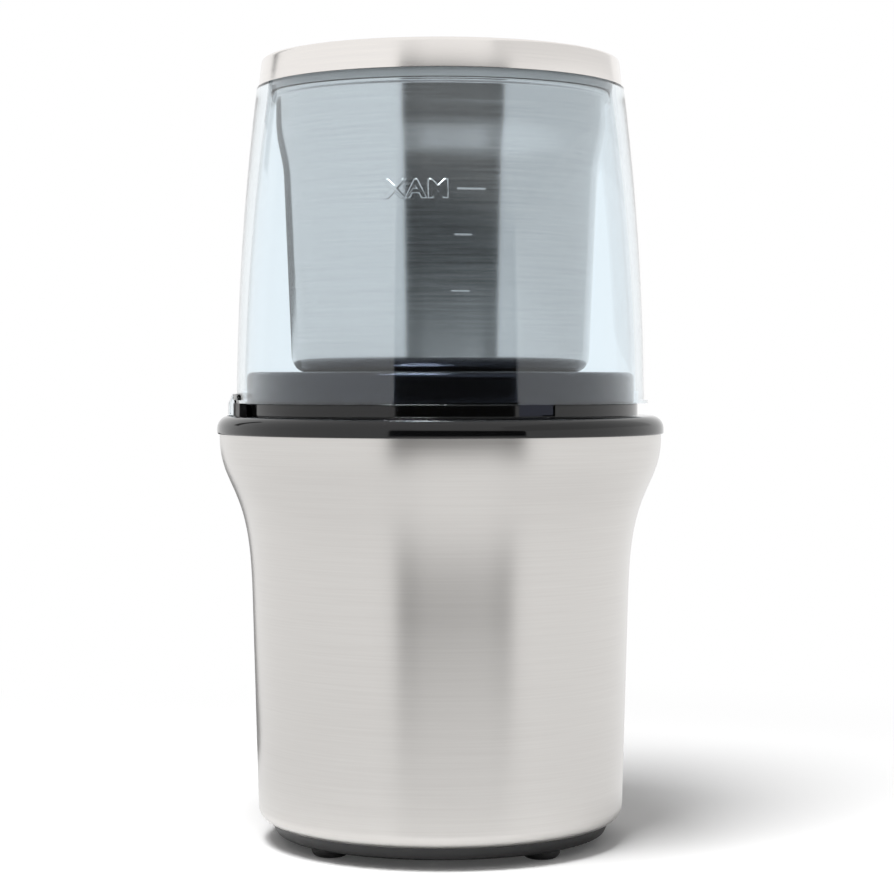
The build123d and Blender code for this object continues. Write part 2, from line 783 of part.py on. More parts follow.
def motor_bottom_bracket():
    """Lower bracket of the motor, with the lower bearing and the pads of the brush boxes."""
    high = z_lower_plate + bracket_wall
    body = spider(z_lower_plate, lower_leg, z_lower_hub, high)
    inner, outer = brush_box()
    pad_low = inner + brush_pad_inset
    pad_high = outer - brush_pad_inset
    for side in (-1, 1):
        reach = sorted((side * pad_low, side * pad_high))
        body += block(reach, (-brush_width / 2, brush_width / 2), (high, z_brush_box))
    body -= rod(bearing_radius + FIT, z_lower_hub + bearing_lip, z_lower_hub + bearing_lip + bearing_height)
    return body - rod(bearing_radius - bearing_wall, z_lower_hub, high)


def motor_dampers():
    """Three rubber grommets in the ears, between the bracket and the bosses."""
    low = z_bracket - bracket_wall
    grommet = turned(
        (damper_bore, low - damper_flange, 0), (damper_radius, low - damper_flange, 0.5),
        (damper_radius, low, 0),
        (damper_neck, low, 0), (damper_neck, z_bracket, 0), (damper_radius, z_bracket, 0),
        (damper_radius, z_boss, 0.5), (damper_bore, z_boss, 0))
    return group([place * grommet for place in around(ear_circle, ear_angles)])


def motor_screws():
    """Three screws up through the grommets into the bosses of the housing."""
    screw = pan_screw(z_bracket - bracket_wall - damper_flange, z_floor_low - 2)
    return group([place * screw for place in around(ear_circle, ear_angles)])


def motor_bolts():
    """Two long screws through lower bracket, stack and upper bracket."""
    high = z_bracket - PAST
    head = z_lower_plate - screw_head_height
    bolt = turned(
        (0, head, 0), (screw_head_radius, head, 0.9), (screw_head_radius, z_lower_plate, 0),
        (bolt_radius, z_lower_plate, 0), (bolt_radius, high, 0.4), (0, high, 0))
    return group([place * bolt for place in around(bolt_circle, (0, 180))])


def stator_core():
    """Stack of laminations: round yoke, two poles on X with wide shoes, holes for the bolts."""
    bore = rotor_radius + air_gap
    shoe = bore + shoe_wall
    stack = tube(stack_radius - yoke_wall, stack_radius, z_stack, z_stack_top)
    for azimuth in (90, 270):
        neck = block((-pole_half_width, pole_half_width), (-stack_radius + PAST, -shoe + PAST / 2),
                     (z_stack, z_stack_top))
        stack += Rot(0, 0, azimuth) * neck
        stack += sector(bore, shoe, z_stack, z_stack_top, azimuth, pole_half_angle)
    for place in around(bolt_circle, (0, 180)):
        stack -= place * rod(bolt_radius + FIT, z_stack, z_stack_top)
    for place in around(stack_radius, (45, 135, 225, 315)):
        stack -= place * rod(1.2, z_stack, z_stack_top)
    return stack


def field_coils():
    """Two saddle coils, each wound round the neck of one pole."""
    inner = rotor_radius + air_gap + shoe_wall + coil_gap
    outer = stack_radius - yoke_wall - coil_gap
    hole_y = pole_half_width + coil_gap
    middle = (z_stack + z_stack_top) / 2
    height = z_stack_top - z_stack + 2 * coil_gap
    frame = RectangleRounded(2 * (hole_y + coil_width), height + 2 * coil_reach, coil_width * 0.8)
    frame -= RectangleRounded(2 * hole_y, height, 2 * coil_gap)
    coil = Pos(0, 0, middle) * extrude(Plane.YZ * frame, stack_radius)
    coil &= tube(inner, outer, z_stack - 2 * coil_reach, z_stack_top + 2 * coil_reach)
    return group([coil, Rot(0, 0, 180) * coil])


def rotor_core():
    """Armature stack with slots for the winding."""
    core = tube(shaft_radius + FIT, rotor_radius, z_stack, z_stack_top)
    deep = rotor_radius - slot_bottom
    slot = block((-slot_width / 2, slot_width / 2), (-rotor_radius + slot_top, -deep), (z_stack, z_stack_top))
    slot += block((-slot_mouth / 2, slot_mouth / 2), (-rotor_radius - PAST, -rotor_radius + slot_top),
                  (z_stack, z_stack_top))
    return core - [Rot(0, 0, index * 360 / rotor_slots) * slot for index in range(rotor_slots)]


def rotor_winding():
    """Enamelled copper: bars of wire in the slots, and the bundles at both ends."""
    deep = rotor_radius - slot_bottom
    shallow = rotor_radius - slot_top
    bore = shaft_radius + 1.5
    low = z_stack - winding_height
    bar = block((-slot_width / 2 + FIT, slot_width / 2 - FIT), (-shallow + FIT, -deep - FIT),
                (z_stack, z_stack_top))
    winding = turned(
        (bore, z_stack_top, 0), (shallow, z_stack_top, 0), (shallow, z_stack_top + winding_height, 3.5),
        (bore, z_stack_top + winding_height, 2.0))
    winding += turned(
        (bore, low, 2.0), (shallow, low, 3.5), (shallow, z_stack, 0), (bore, z_stack, 0))
    return winding + [Rot(0, 0, index * 360 / rotor_slots) * bar for index in range(rotor_slots)]


def commutator():
    """Copper bars on an insulated hub, with risers towards the winding."""
    low = z_commutator_top - commutator_height
    z_riser = z_commutator_top - riser_height
    body = turned(
        (shaft_radius + FIT, low, 0), (commutator_radius, low, 0.3), (commutator_radius, z_riser, 0),
        (commutator_radius + riser_rise, z_riser, 0), (commutator_radius + riser_rise, z_commutator_top, 0),
        (shaft_radius + FIT, z_commutator_top, 0))
    outer = commutator_radius + riser_rise + 1
    groove = block((-commutator_groove / 2, commutator_groove / 2), (-outer, -commutator_radius + 0.8),
                   (low, z_commutator_top))
    return body - [Rot(0, 0, index * 360 / commutator_bars) * groove for index in range(commutator_bars)]


def brush_box():
    """Inner and outer end of the brush boxes, along X."""
    inner = commutator_radius + riser_rise + SLIDE
    return inner, inner + brush_box_length


def brush_place():
    """Middle height of the brushes."""
    return z_brush_box + brush_box_wall + brush_depth / 2


def brush_holders():
    """Two brass boxes that guide the brushes on to the commutator."""
    inner, outer = brush_box()
    half_y = brush_width / 2 + brush_box_wall
    half_z = brush_depth / 2 + brush_box_wall
    middle = brush_place()
    box = block((inner, outer), (-half_y, half_y), (middle - half_z, middle + half_z))
    box -= block((inner, outer - brush_box_wall), (-brush_width / 2 - FIT, brush_width / 2 + FIT),
                 (middle - brush_depth / 2 - FIT, middle + brush_depth / 2 + FIT))
    return group([box, Rot(0, 0, 180) * box])


def carbon_brushes():
    """Two carbon blocks, hollowed to the curve of the commutator."""
    inner = commutator_radius - 1
    middle = brush_place()
    brush = block((inner, commutator_radius + brush_gap + brush_length), (-brush_width / 2, brush_width / 2),
                  (middle - brush_depth / 2, middle + brush_depth / 2))
    brush -= rod(commutator_radius + brush_gap, middle - brush_depth, middle + brush_depth)
    return group([brush, Rot(0, 0, 180) * brush])


def spring(radius, wire, length, turns):
    """Open helical spring standing on Z = 0, flat at both ends."""
    pitch = (length - 2 * wire) / turns
    path = Helix(pitch, length - 2 * wire, radius)
    section = Plane(origin=path @ 0, z_dir=path % 0) * RegularPolygon(wire, 6)
    return Pos(0, 0, wire) * sweep(section, path, is_frenet=True)


def brush_springs():
    """Two small springs behind the brushes."""
    start = commutator_radius + brush_gap + brush_length + FIT
    end = brush_box()[1] - brush_box_wall - FIT
    coil = spring(brush_width / 2 - 2 * spring_wire, spring_wire, end - start, 5)
    placed = Pos(start, 0, brush_place()) * Rot(0, 90, 0) * coil
    return group([placed, Rot(0, 0, 180) * placed])


def motor_fan():
    """Moulded cooling fan on the shaft, above the upper bracket."""
    high = z_fan + fan_height
    bore = shaft_radius + FIT
    fan = tube(bore, fan_hub, z_fan, high) + tube(bore, fan_radius, z_fan, z_fan + fan_wall)
    vane = block((-fan_wall / 2, fan_wall / 2), (-fan_radius + PAST, -fan_hub / 2), (z_fan, high - PAST))
    lean = Pos(0, -fan_hub / 2, 0) * Rot(0, 0, 18) * Pos(0, fan_hub / 2, 0)
    vanes = [Rot(0, 0, index * 360 / fan_blades) * lean * vane for index in range(fan_blades)]
    fan += vanes
    return fan & tube(bore, fan_radius, z_fan, high)


# ---------------------------------------------------------------- press and switch

def push_rod():
    """Sliding rod: head in the trough, offset web, leg down through the guide, foot on the lever."""
    outer = rod_radius + rod_wall
    leg_outer = -leg_x - rod_leg_wall / 2
    leg_inner = -leg_x + rod_leg_wall / 2
    wide = (-rod_width / 2, rod_width / 2)
    narrow = (-rod_leg_width / 2, rod_leg_width / 2)
    foot = (z_rod_foot, z_rod_foot + rod_foot_height)
    head = block((-outer, -rod_radius), wide, (z_web_low, z_trough + rod_stand))
    web = block((-outer, leg_inner), wide, (z_web_low, z_web_low + rod_web_height))
    leg = block((leg_outer, leg_inner), narrow, (z_rod_foot, z_web_low + PAST))
    arm = block((leg_outer, -switch_x + switch_wall / 2), narrow, foot)
    nose = block((-switch_x - lever_width / 2, -switch_x + lever_width / 2),
                 (pivot_y - lever_reach - PAST, rod_leg_width / 2), foot)
    return fillet((head + web + leg + arm + nose).edges().filter_by(Axis.Y).sort_by(Axis.Z)[-2:], 0.5)


def return_spring():
    """Spring round the leg of the push rod, between its guide and its web."""
    radius = hypot(rod_leg_wall, rod_leg_width) / 2 + coil_spring_wire + FIT
    coil = spring(radius, coil_spring_wire / 2, z_web_low - z_lug, coil_spring_turns)
    return Pos(-leg_x, 0, z_lug) * coil


def switch_bracket():
    """Moulded hanger under the bowl that guides the push rod and holds the switch."""
    half = hanger_width / 2
    inner = -switch_x + switch_wall / 2
    outer = -leg_x - rod_leg_wall / 2 - hanger_wall
    rib = -leg_x + rod_leg_wall / 2 + coil_spring_wire * 4
    low = z_switch
    body = block((rib, inner + hanger_wall), (-half, half), (z_floor_low - hanger_wall, z_floor_low))
    body += block((inner, inner + hanger_wall), (-half, half), (low, z_floor_low))
    body += block((rib, rib + hanger_wall), (-half / 2, half / 2), (z_lug - lug_height, z_floor_low))
    body += block((outer, rib + hanger_wall), (-half / 2, half / 2), (z_lug - lug_height, z_lug))
    body -= block((-leg_x - rod_leg_wall / 2 - SLIDE, -leg_x + rod_leg_wall / 2 + SLIDE),
                  (-rod_leg_width / 2 - SLIDE, rod_leg_width / 2 + SLIDE), (z_lug - lug_height, z_lug))
    for side in (-1, 1):
        screw_hole = rod(switch_hole_radius + FIT, low, z_floor_low)
        body -= Pos(-hanger_screw_x, side * hanger_screw_y, 0) * screw_hole
        hole = Pos(inner, switch_y + side * switch_holes / 2, z_switch + switch_hole_height) * Rot(0, 90, 0)
        body -= hole * Cylinder(switch_hole_radius + FIT, 4 * hanger_wall)
    return body


def small_screw(reach):
    """Small pan-head screw pointing up, the seat of its head on Z = 0."""
    return turned(
        (0, -small_head_height, 0), (small_head_radius, -small_head_height, 0.5), (small_head_radius, 0, 0),
        (switch_hole_radius, 0, 0), (switch_hole_radius, reach, 0), (0, reach, 0))


def bracket_screws():
    """Two screws that hold the hanger under the bowl."""
    seat = z_floor_low - hanger_wall
    screw = Pos(0, 0, seat) * small_screw(hanger_wall + floor_wall - pivot_half)
    return group([Pos(-hanger_screw_x, side * hanger_screw_y, 0) * screw for side in (-1, 1)])


def switch_body():
    """Case of the micro-switch, with three blade terminals below."""
    half = switch_wall / 2
    case = block((-switch_x - half, -switch_x + half),
                 (switch_y - switch_width / 2, switch_y + switch_width / 2), (z_switch, z_switch_top))
    case = fillet(case.edges().filter_by(Axis.X), 0.6)
    for side in (-1, 1):
        hole = Rot(0, 90, 0) * Cylinder(switch_hole_radius + FIT, 2 * switch_wall)
        case -= Pos(-switch_x, switch_y + side * switch_holes / 2, z_switch + switch_hole_height) * hole
    well = rod(button_radius + FIT, z_switch_top - 2 * button_sink, z_switch_top)
    case -= Pos(-switch_x, button_y, 0) * well
    ear_y = (pivot_y - pivot_half, pivot_y + pivot_half)
    ear_z = (z_switch_top - PAST, z_pivot + PAST)
    case += block((-switch_x - half, -switch_x - half + pivot_ear_wall), ear_y, ear_z)
    case += block((-switch_x + half - pivot_ear_wall, -switch_x + half), ear_y, ear_z)
    for step in (-1, 0, 1):
        y = switch_y + step * terminal_pitch
        case += block((-switch_x - terminal_half_width, -switch_x + terminal_half_width),
                      (y - terminal_half_wall, y + terminal_half_wall),
                      (z_switch - terminal_length, z_switch + PAST))
    return case


def switch_screws():
    """Two screws through the switch into the hanger."""
    screw = Rot(0, 90, 0) * small_screw(switch_wall + hanger_wall)
    near = -switch_x - switch_wall / 2
    height = z_switch + switch_hole_height
    return group([Pos(near, switch_y + side * switch_holes / 2, height) * screw for side in (-1, 1)])


def switch_button():
    """Plunger of the switch."""
    low = z_switch_top - button_sink
    high = z_switch_top + button_rise
    return Pos(-switch_x, button_y, 0) * turned(
        (0, low, 0), (button_radius, low, 0), (button_radius, high, 0.4), (0, high, 0))


def switch_lever():
    """Leaf over the plunger, hinged at one end of the case."""
    half = lever_width / 2
    leaf = block((-half, half), (-lever_length, 0), (-lever_wall / 2, lever_wall / 2))
    barrel = Rot(0, 90, 0) * Cylinder(0.6, lever_width)
    lever = Rot(-lever_angle, 0, 0) * leaf + barrel
    return Pos(-switch_x, pivot_y, z_pivot) * lever


# Levels and places that hang on the housing, the cup and the blade
z_bracket = z_floor_low - fan_space
z_boss = z_bracket + damper_flange
z_fan = z_bracket + 1.5
z_stack_top = z_bracket - bracket_wall - leg_height
z_lower_hub = z_base + base_wall + motor_stand
z_lower_plate = z_lower_hub + lower_hub - bracket_wall
z_stack = z_lower_plate + bracket_wall + lower_leg
z_shaft_low = z_lower_hub + bearing_lip / 2
z_commutator_top = z_stack - winding_height - 0.5
z_brush_box = z_commutator_top - riser_height - commutator_height / 2 - brush_depth / 2 + 0.4
z_web = z_floor + drip_height + coupler_skirt_gap + coupler_web
z_plug_top = z_web + tooth_length
z_socket = z_web + LASH
z_socket_roof = z_plug_top + LASH + SLIDE
z_coupler_top = z_socket_roof + coupler_web
z_bush_low = z_coupler_top + 2 * SLIDE + clip_wall
z_washer = z_cup_floor + washer_height
z_head = z_washer + bush_flange_height + bush_head_height
z_blade = z_head + 2 * SLIDE + blade_lift
z_web_low = z_skirt - rod_web_height - press_travel - 0.9
leg_x = bowl_radius + housing_wall + rod_leg_gap + rod_leg_wall / 2
z_lug = z_floor_low - lug_drop
z_rod_foot = z_floor_low - foot_drop
switch_x = leg_x - switch_offset
switch_y = 0.0
pivot_y = switch_y + switch_width / 2 - pivot_inset
button_y = pivot_y - button_reach
lever_top = lever_reach * tan(radians(lever_angle)) + lever_wall / 2 / cos(radians(lever_angle))
z_pivot = z_rod_foot - SLIDE - lever_top
z_switch_top = z_pivot - pivot_rise
z_switch = z_switch_top - switch_height
hanger_screw_x = switch_x + 0.5
hanger_screw_y = hanger_width / 2 - hanger_screw_inset

pieces = {
    "body_shell": body_shell, "cord_gland": cord_gland, "base_plate": base_plate, "feet": feet,
    "base_screws": base_screws, "upper_housing": upper_housing,
    "lid_cover": lid_cover, "lid_pusher": lid_pusher, "lid_cap": lid_cap, "lid_seal": lid_seal,
    "grinding_cup": grinding_cup, "cup_collar": cup_collar, "floor_washer": floor_washer,
    "shaft_bush": shaft_bush, "bush_nut": bush_nut, "shaft_seal": shaft_seal,
    "blade_shaft": blade_shaft, "shaft_clip": shaft_clip, "blade": blade, "blade_hub": blade_hub,
    "blade_nut": blade_nut, "drive_coupler": drive_coupler, "cup_coupler": cup_coupler,
    "motor_shaft": motor_shaft, "motor_top_bracket": motor_top_bracket,
    "motor_bottom_bracket": motor_bottom_bracket, "motor_dampers": motor_dampers,
    "motor_screws": motor_screws, "motor_bolts": motor_bolts, "stator_core": stator_core,
    "field_coils": field_coils, "rotor_core": rotor_core, "rotor_winding": rotor_winding,
    "commutator": commutator, "brush_holders": brush_holders, "carbon_brushes": carbon_brushes,
    "brush_springs": brush_springs, "motor_fan": motor_fan, "push_rod": push_rod,
    "return_spring": return_spring, "switch_bracket": switch_bracket, "bracket_screws": bracket_screws,
    "switch_body": switch_body, "switch_screws": switch_screws, "switch_button": switch_button,
    "switch_lever": switch_lever,
}

shapes = {name: make() for name, make in pieces.items()}
shapes["bearing_top"] = bearing(z_bracket - bearing_height)
shapes["bearing_bottom"] = bearing(z_lower_hub + bearing_lip)

for name, shape in shapes.items():
    export_step(shape, f"parts/{name}.step")
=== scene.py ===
"""Electric spice grinder: smooth outer surfaces, finishes and a small studio round the fixed frame."""
import json
import bmesh
import bpy
import numpy as np
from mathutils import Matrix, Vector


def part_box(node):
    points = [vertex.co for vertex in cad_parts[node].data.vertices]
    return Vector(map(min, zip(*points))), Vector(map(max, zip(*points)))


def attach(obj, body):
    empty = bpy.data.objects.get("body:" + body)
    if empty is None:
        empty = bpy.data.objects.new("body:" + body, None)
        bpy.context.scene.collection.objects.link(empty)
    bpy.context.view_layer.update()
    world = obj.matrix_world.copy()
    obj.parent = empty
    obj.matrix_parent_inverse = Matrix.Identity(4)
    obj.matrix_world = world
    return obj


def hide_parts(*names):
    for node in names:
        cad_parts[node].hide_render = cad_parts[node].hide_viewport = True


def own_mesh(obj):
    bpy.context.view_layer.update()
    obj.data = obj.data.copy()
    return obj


bl_info = {
    "name": "Spice Grinder",
    "version": (1, 0, 0),
    "blender": (4, 5, 0),
    "location": "View3D > Sidebar > Grinder",
    "description": "Builds the outer surfaces, finishes and studio of an electric spice grinder",
    "category": "Add Mesh",
}

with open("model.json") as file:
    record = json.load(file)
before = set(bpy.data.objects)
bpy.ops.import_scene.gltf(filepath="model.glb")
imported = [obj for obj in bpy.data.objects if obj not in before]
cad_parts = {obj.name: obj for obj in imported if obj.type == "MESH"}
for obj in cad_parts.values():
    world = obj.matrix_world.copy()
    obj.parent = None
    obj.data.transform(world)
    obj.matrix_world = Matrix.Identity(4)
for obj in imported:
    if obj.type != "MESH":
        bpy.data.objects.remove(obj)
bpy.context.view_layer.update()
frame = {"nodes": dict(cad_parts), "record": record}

MM = 0.001
ROUND = 192                    # facets round the axis
ARC = 7                        # points on each rounding of a profile
CREASE = np.radians(32)        # edges that turn by more than this stay crisp
NOISE_SPAN = (0.3, 0.7)        # the part of a noise's values from 0 to 1 that it mostly keeps to
PAST = 1.0                     # how far a shape that cuts or joins runs past the face it meets, in mm
FIT = 0.05                     # gap round a pressed seat, in mm

# Heights above the worktop in millimetres
Z_SHELL, Z_FLARE, Z_LAND, Z_SHELL_TOP = 5.2, 59.0, 101.0, 102.6
Z_SKIRT, Z_RING, Z_STEP, Z_RING_TOP, Z_NECK = 101.0, 101.8, 102.65, 106.4, 109.7
Z_FLOOR_LOW, Z_FLOOR, Z_BOSS, Z_LEDGE_LOW, Z_LEDGE, Z_TROUGH = 91.0, 93.5, 96.5, 100.3, 102.5, 103.0
Z_COLLAR_LOW, Z_COLLAR, Z_UNDER, Z_CUP, Z_CUP_FLOOR = 102.9, 109.75, 114.65, 117.15, 117.95
Z_SHOULDER, Z_CUP_NECK, Z_LIP, Z_CUP_RIM = 167.95, 176.75, 184.65, 185.95
Z_NOTCH, Z_KEY = 106.7, 107.0
Z_LID_RIM, Z_LID_LIP, Z_RELIEF, Z_LID_INSIDE = 109.5, 110.3, 112.6, 184.25
Z_CAP, Z_SEAL, Z_CEILING, Z_ROOF, Z_CAP_TOP = 187.65, 188.85, 191.65, 194.05, 194.85
Z_SEAL_SKIRT = 185.7
Z_TAB, Z_TAB_TOP = 106.5, 111.7

# Radii in millimetres
R_SHELL_LOW, R_SHELL, R_SHELL_TOP = 40.8, 45.6, 55.25
R_RING, R_STEP, R_SKIRT, R_NECK, R_NECK_BORE = 55.9, 55.3, 54.4, 49.4, 46.9
R_BOWL, R_BOWL_OUTSIDE, R_BOSS, R_BOSS_BORE = 38.0, 40.2, 7.2, 5.2
R_CUP, R_SHOULDER, R_CUP_NECK, R_LIP = 37.1, 39.25, 41.15, 42.35
R_BUSH = 6.08                  # hole for the shaft bush, with its gap
R_COLLAR, R_COLLAR_SKIRT, R_KEY = 48.45, 46.6, 48.7
R_LID, R_LID_TOP, R_LID_INSIDE, R_LID_INSIDE_TOP = 51.0, 45.85, 49.0, 43.4
R_LID_LIP, R_RELIEF, R_LID_NECK, R_LID_NECK_TOP, R_LID_NECK_BORE = 51.95, 49.7, 44.55, 43.75, 42.85
R_CAP, R_CAP_TOP = 45.4, 44.6
R_SEAL_BORE, R_SEAL, R_SEAL_SKIRT, R_SEAL_SKIRT_LOW = 40.17, 42.77, 42.47, 42.73
R_TAB, R_TAB_OUTSIDE = 52.05, 53.1

# Other sizes in millimetres, and angles in degrees from the front towards +X
SHELL_WALL, SHELL_TAPER, SHELL_BEND = 0.8, 1.57, 3.8
FLARE_SHARE, FLARE_STEPS = 0.7, 40    # how far up the flare its taper line and its land line are held
GLAND_BORE, GLAND_HEIGHT, GLAND_REACH = 4.9, 15.0, (30.0, 60.0)
FOOT_RADIUS, FOOT_SEAT, FOOT_INSIDE, FOOT_STEM, FOOT_BARB, FOOT_CIRCLE = 4.6, 3.2, 4.2, 1.9, 0.5, 36.05
POST_RADIUS, POST_CORE, POST_TOP = 4.0, 1.55, 91.5
POSTS = ((33.55, 8.2, 22.2, (0, 120, 240)), (30.5, 80.3, 90.0, (90, 210, 330)))    # circle, foot, core, angles
PRESS_ANGLE, TROUGH_HALF, TAB_HALF = 270, 24, 13
TROUGH_WIDTH, GUIDE_HALF, GUIDE_DEPTH, GUIDE_HEIGHT = 4.0, 5.3, (49.9, 52.3), (100.0, 104.0)
KEY_ANGLES, KEY_HALF, NOTCH_HALF = (30, 150, 270), 4.5, 4.8
CUP_WALL, CUP_SOFT = 0.8, 30.0     # thickness, and rounding of the shoulder
COLLAR_WALL, COLLAR_RIBS, RIB_HALF = 2.5, 6, 1.0
COLLAR_HUB = 9.2 / np.cos(np.radians(30)) + 0.6    # clear of the corners of a nut with a flat 9.2 from the axis
Z_RIB, Z_HUB_TOP = 103.9, 115.0    # foot of the ribs, and top of the hub and ribs inside the disc
LID_BOW = 1.1
TAB_REACH = 1.0                # how far the tab holds under the lip, and its top slants in
SPRING_WIRE, SPRING_TURNS, SPRING_STEPS, WIRE_SIDES = 0.25, 5, 24, 10    # radius, turns, points on each, sides

# Fill mark in millimetres: it is centred on an azimuth in degrees and runs from right to left
FRONT, MARK_RIGHT, MARK_WIDTH, MARK_LOW = 2.5, 2.0, 15.6, 157.7
MARK_ROUND, MARK_GAP = 0.05, 1.15    # rounding of the letters' edges and their spacing, in units of their type size
LINE_RELIEF, LINE_HALF, LINE_SIDES = 0.25, 0.27, 16
MARK_LINES = (("line_full", 4.0, 10.5, 160.0), ("line_middle", 3.4, 7.4, 149.3), ("line_low", 2.6, 6.8, 136.1))

# Stage, in metres. Each felt: name, corners, axis of its ramps, ramp of its middle, ramp of its cover, and whether
# it is seen only through the lid. A ramp is (start, end, value at the start, value at the end).
FLAG_Y, FLAG_TOP, CARD_Y = -0.9, 0.62, -0.10
FLAG_MIDDLE, FLAG_COVER = (0.34, 0.44, 0.0, 0.85), (0.35, 0.47, 0.975, 0.18)
CARD_MIDDLE, CARD_COVER = (0.44, 0.66, 0.80, 0.0), (0.06, 0.50, 0.0, 0.70)
NOWHERE = (-9.0, -8.0)         # a ramp that ends before every felt begins, so that it is level
BLACK, DARK, PALE = (*NOWHERE, 0.0, 0.0), (*NOWHERE, 0.85, 0.85), (*NOWHERE, 0.22, 0.22)
CARD_LIFT = 0.001              # the felts that lie on the floor are this far above it
FELTS = (
    ("rear_flag", ((-1.0, 1.0, 0.122), (-0.10, 1.0, 0.122), (-0.10, 1.0, 0.45), (-1.0, 1.0, 0.45)),
     "Z", BLACK, DARK, True),
    ("rear_card", ((-0.115, 0.10, CARD_LIFT), (-0.058, 0.10, CARD_LIFT),
                   (-0.20, 1.6, CARD_LIFT), (-0.75, 1.6, CARD_LIFT)), "Z", BLACK, DARK, False),
    ("cap_strip", ((-1.00, 0.70, 0.40), (-0.92, 0.81, 0.40), (-0.92, 0.81, 0.95), (-1.00, 0.70, 0.95)),
     "Z", BLACK, DARK, False),
    ("cup_side", ((1.1, -1.4, 0.0), (1.1, 1.4, 0.0), (1.1, 1.4, 1.0), (1.1, -1.4, 1.0)),
     "Z", BLACK, PALE, True),
    ("cap_side", ((1.05, -1.4, 0.42), (1.05, 1.4, 0.42), (1.05, 1.4, 1.6), (1.05, -1.4, 1.6)),
     "Z", BLACK, PALE, False),
)
FELT_INNER, FELT_OUTER = 0.45, 0.85    # where the middle of a felt ends, in half widths of the flag
LID_CROSSINGS = 2.5            # a ray meets two faces of the lid before the cup and one after it
FLOOR_SIZE, FLOOR_GLOW = 6.0, 0.05
FLOOR_FADE, FLOOR_FADE_GLOSSY = (0.13, 0.32), (0.05, 0.09)
# The last three set a painted shade that gloss rays see on the floor near the base, in place of its contact shadow,
# fading out from FLOOR_NEAR to FLOOR_FAR metres
FLOOR_NEAR, FLOOR_FAR, FLOOR_PAINTED_SHADE = 0.05, 0.40, 0.07
WORLD_LIGHT = 0.29
KEY_PLACE, KEY_SIZE, KEY_POWER, KEY_AIM = (-0.16, -0.33, 1.05), (0.42, 0.42), 13.1, (0, 0, 0.10)
LENS, SENSOR, CLIP = 95.29, 36.0, 0.01
VIEW_DISTANCE, VIEW_SIDE, VIEW_HEIGHT, VIEW_ANGLE, VIEW_TILT = 0.5949, 0.00165, 0.115, 2.5, 1.599


# ---------------------------------------------------------------- shapes

def unit(vector):
    """Vector divided by its length."""
    return vector / np.linalg.norm(vector)


def outline(corners):
    """Closed profile of radius and height. Each corner with a rounding r becomes the arc of radius r that
    touches both sides: centre + (sin((1-t)w) a + sin(t w) b) / sin w, for t from 0 to 1, where a and b run
    from the centre to the touching points and w is the angle between them."""
    points = []
    count = len(corners)
    for index, (radius, height, rounding) in enumerate(corners):
        here = np.array((radius, height), float)
        if rounding == 0:
            points.append(here[None])
            continue
        before = unit(np.array(corners[index - 1][:2], float) - here)
        after = unit(np.array(corners[(index + 1) % count][:2], float) - here)
        half = np.arccos(np.clip(before @ after, -1, 1)) / 2
        centre = here + unit(before + after) * rounding / np.sin(half)
        a = here + before * rounding / np.tan(half) - centre
        b = here + after * rounding / np.tan(half) - centre
        w = np.pi - 2 * half
        t = np.linspace(0, 1, ARC)[:, None]
        points.append(centre + (np.sin((1 - t) * w) * a + np.sin(t * w) * b) / np.sin(w))
    return np.concatenate(points)


def bowed(bottom, top, low, high, bulge, steps=28):
    """Bowed side: radius b + (t - b) u + 4 bulge u (1 - u), height low + (high - low) u, for u from 0 to 1."""
    u = np.linspace(0, 1, steps)
    return np.stack((bottom + (top - bottom) * u + 4 * bulge * u * (1 - u), low + (high - low) * u), -1)


def grid_faces(rows, columns, wrap_rows, wrap_columns):
    """Quads between neighbours of a grid of points."""
    index = np.arange(rows * columns).reshape(rows, columns)
    right = np.roll(index, -1, 1)
    quads = np.stack((index, right, np.roll(right, -1, 0), np.roll(index, -1, 0)), -1)
    if not wrap_rows:
        quads = quads[:-1]
    if not wrap_columns:
        quads = quads[:, :-1]
    return quads.reshape(-1, 4)


def closed(mesh, distance):
    """Merges a mesh's doubles and points its faces outwards."""
    work = bmesh.new()
    work.from_mesh(mesh)
    bmesh.ops.remove_doubles(work, verts=work.verts, dist=distance)
    bmesh.ops.recalc_face_normals(work, faces=work.faces)
    work.to_mesh(mesh)
    work.free()


def placed(name, mesh):
    """A new object at the origin that shows a mesh."""
    piece = bpy.data.objects.new(name, mesh)
    bpy.context.scene.collection.objects.link(piece)
    return piece


def finished(name, points, faces):
    """A mesh object in metres from points in millimetres: doubles merged, faces outwards, edges kept crisp."""
    mesh = bpy.data.meshes.new(name)
    mesh.from_pydata((points * MM).tolist(), [], [list(face) for face in faces])
    closed(mesh, 1e-6)
    mesh.shade_smooth()
    mesh.set_sharp_from_angle(angle=CREASE)
    return placed(name, mesh)


def read_points(mesh):
    """A mesh's points as rows of x, y and z."""
    points = np.empty(len(mesh.vertices) * 3)
    mesh.vertices.foreach_get("co", points)
    return points.reshape(-1, 3)


def lathe(name, profile, places=((0, 0),)):
    """Profile turned about Z: (x + r sin a, y - r cos a, h), for a once round, at each place (x, y)."""
    a = np.linspace(0, 2 * np.pi, ROUND, endpoint=False)
    r, h = profile[:, :1], profile[:, 1:]
    ring = np.stack((r * np.sin(a), -r * np.cos(a), h + 0 * a), -1).reshape(-1, 3)
    faces = grid_faces(len(profile), ROUND, True, True)
    points = np.concatenate([ring + (x, y, 0) for x, y in places])
    return finished(name, points, np.concatenate([faces + i * len(ring) for i in range(len(places))]))


def peg(name, radius, low, high, circle, angle):
    """Upright rod on a circle round the axis, at an angle from the front."""
    a = np.radians(angle)
    profile = outline([(0, low, 0), (radius, low, 0), (radius, high, 0), (0, high, 0)])
    return lathe(name, profile, [(circle * np.sin(a), -circle * np.cos(a))])


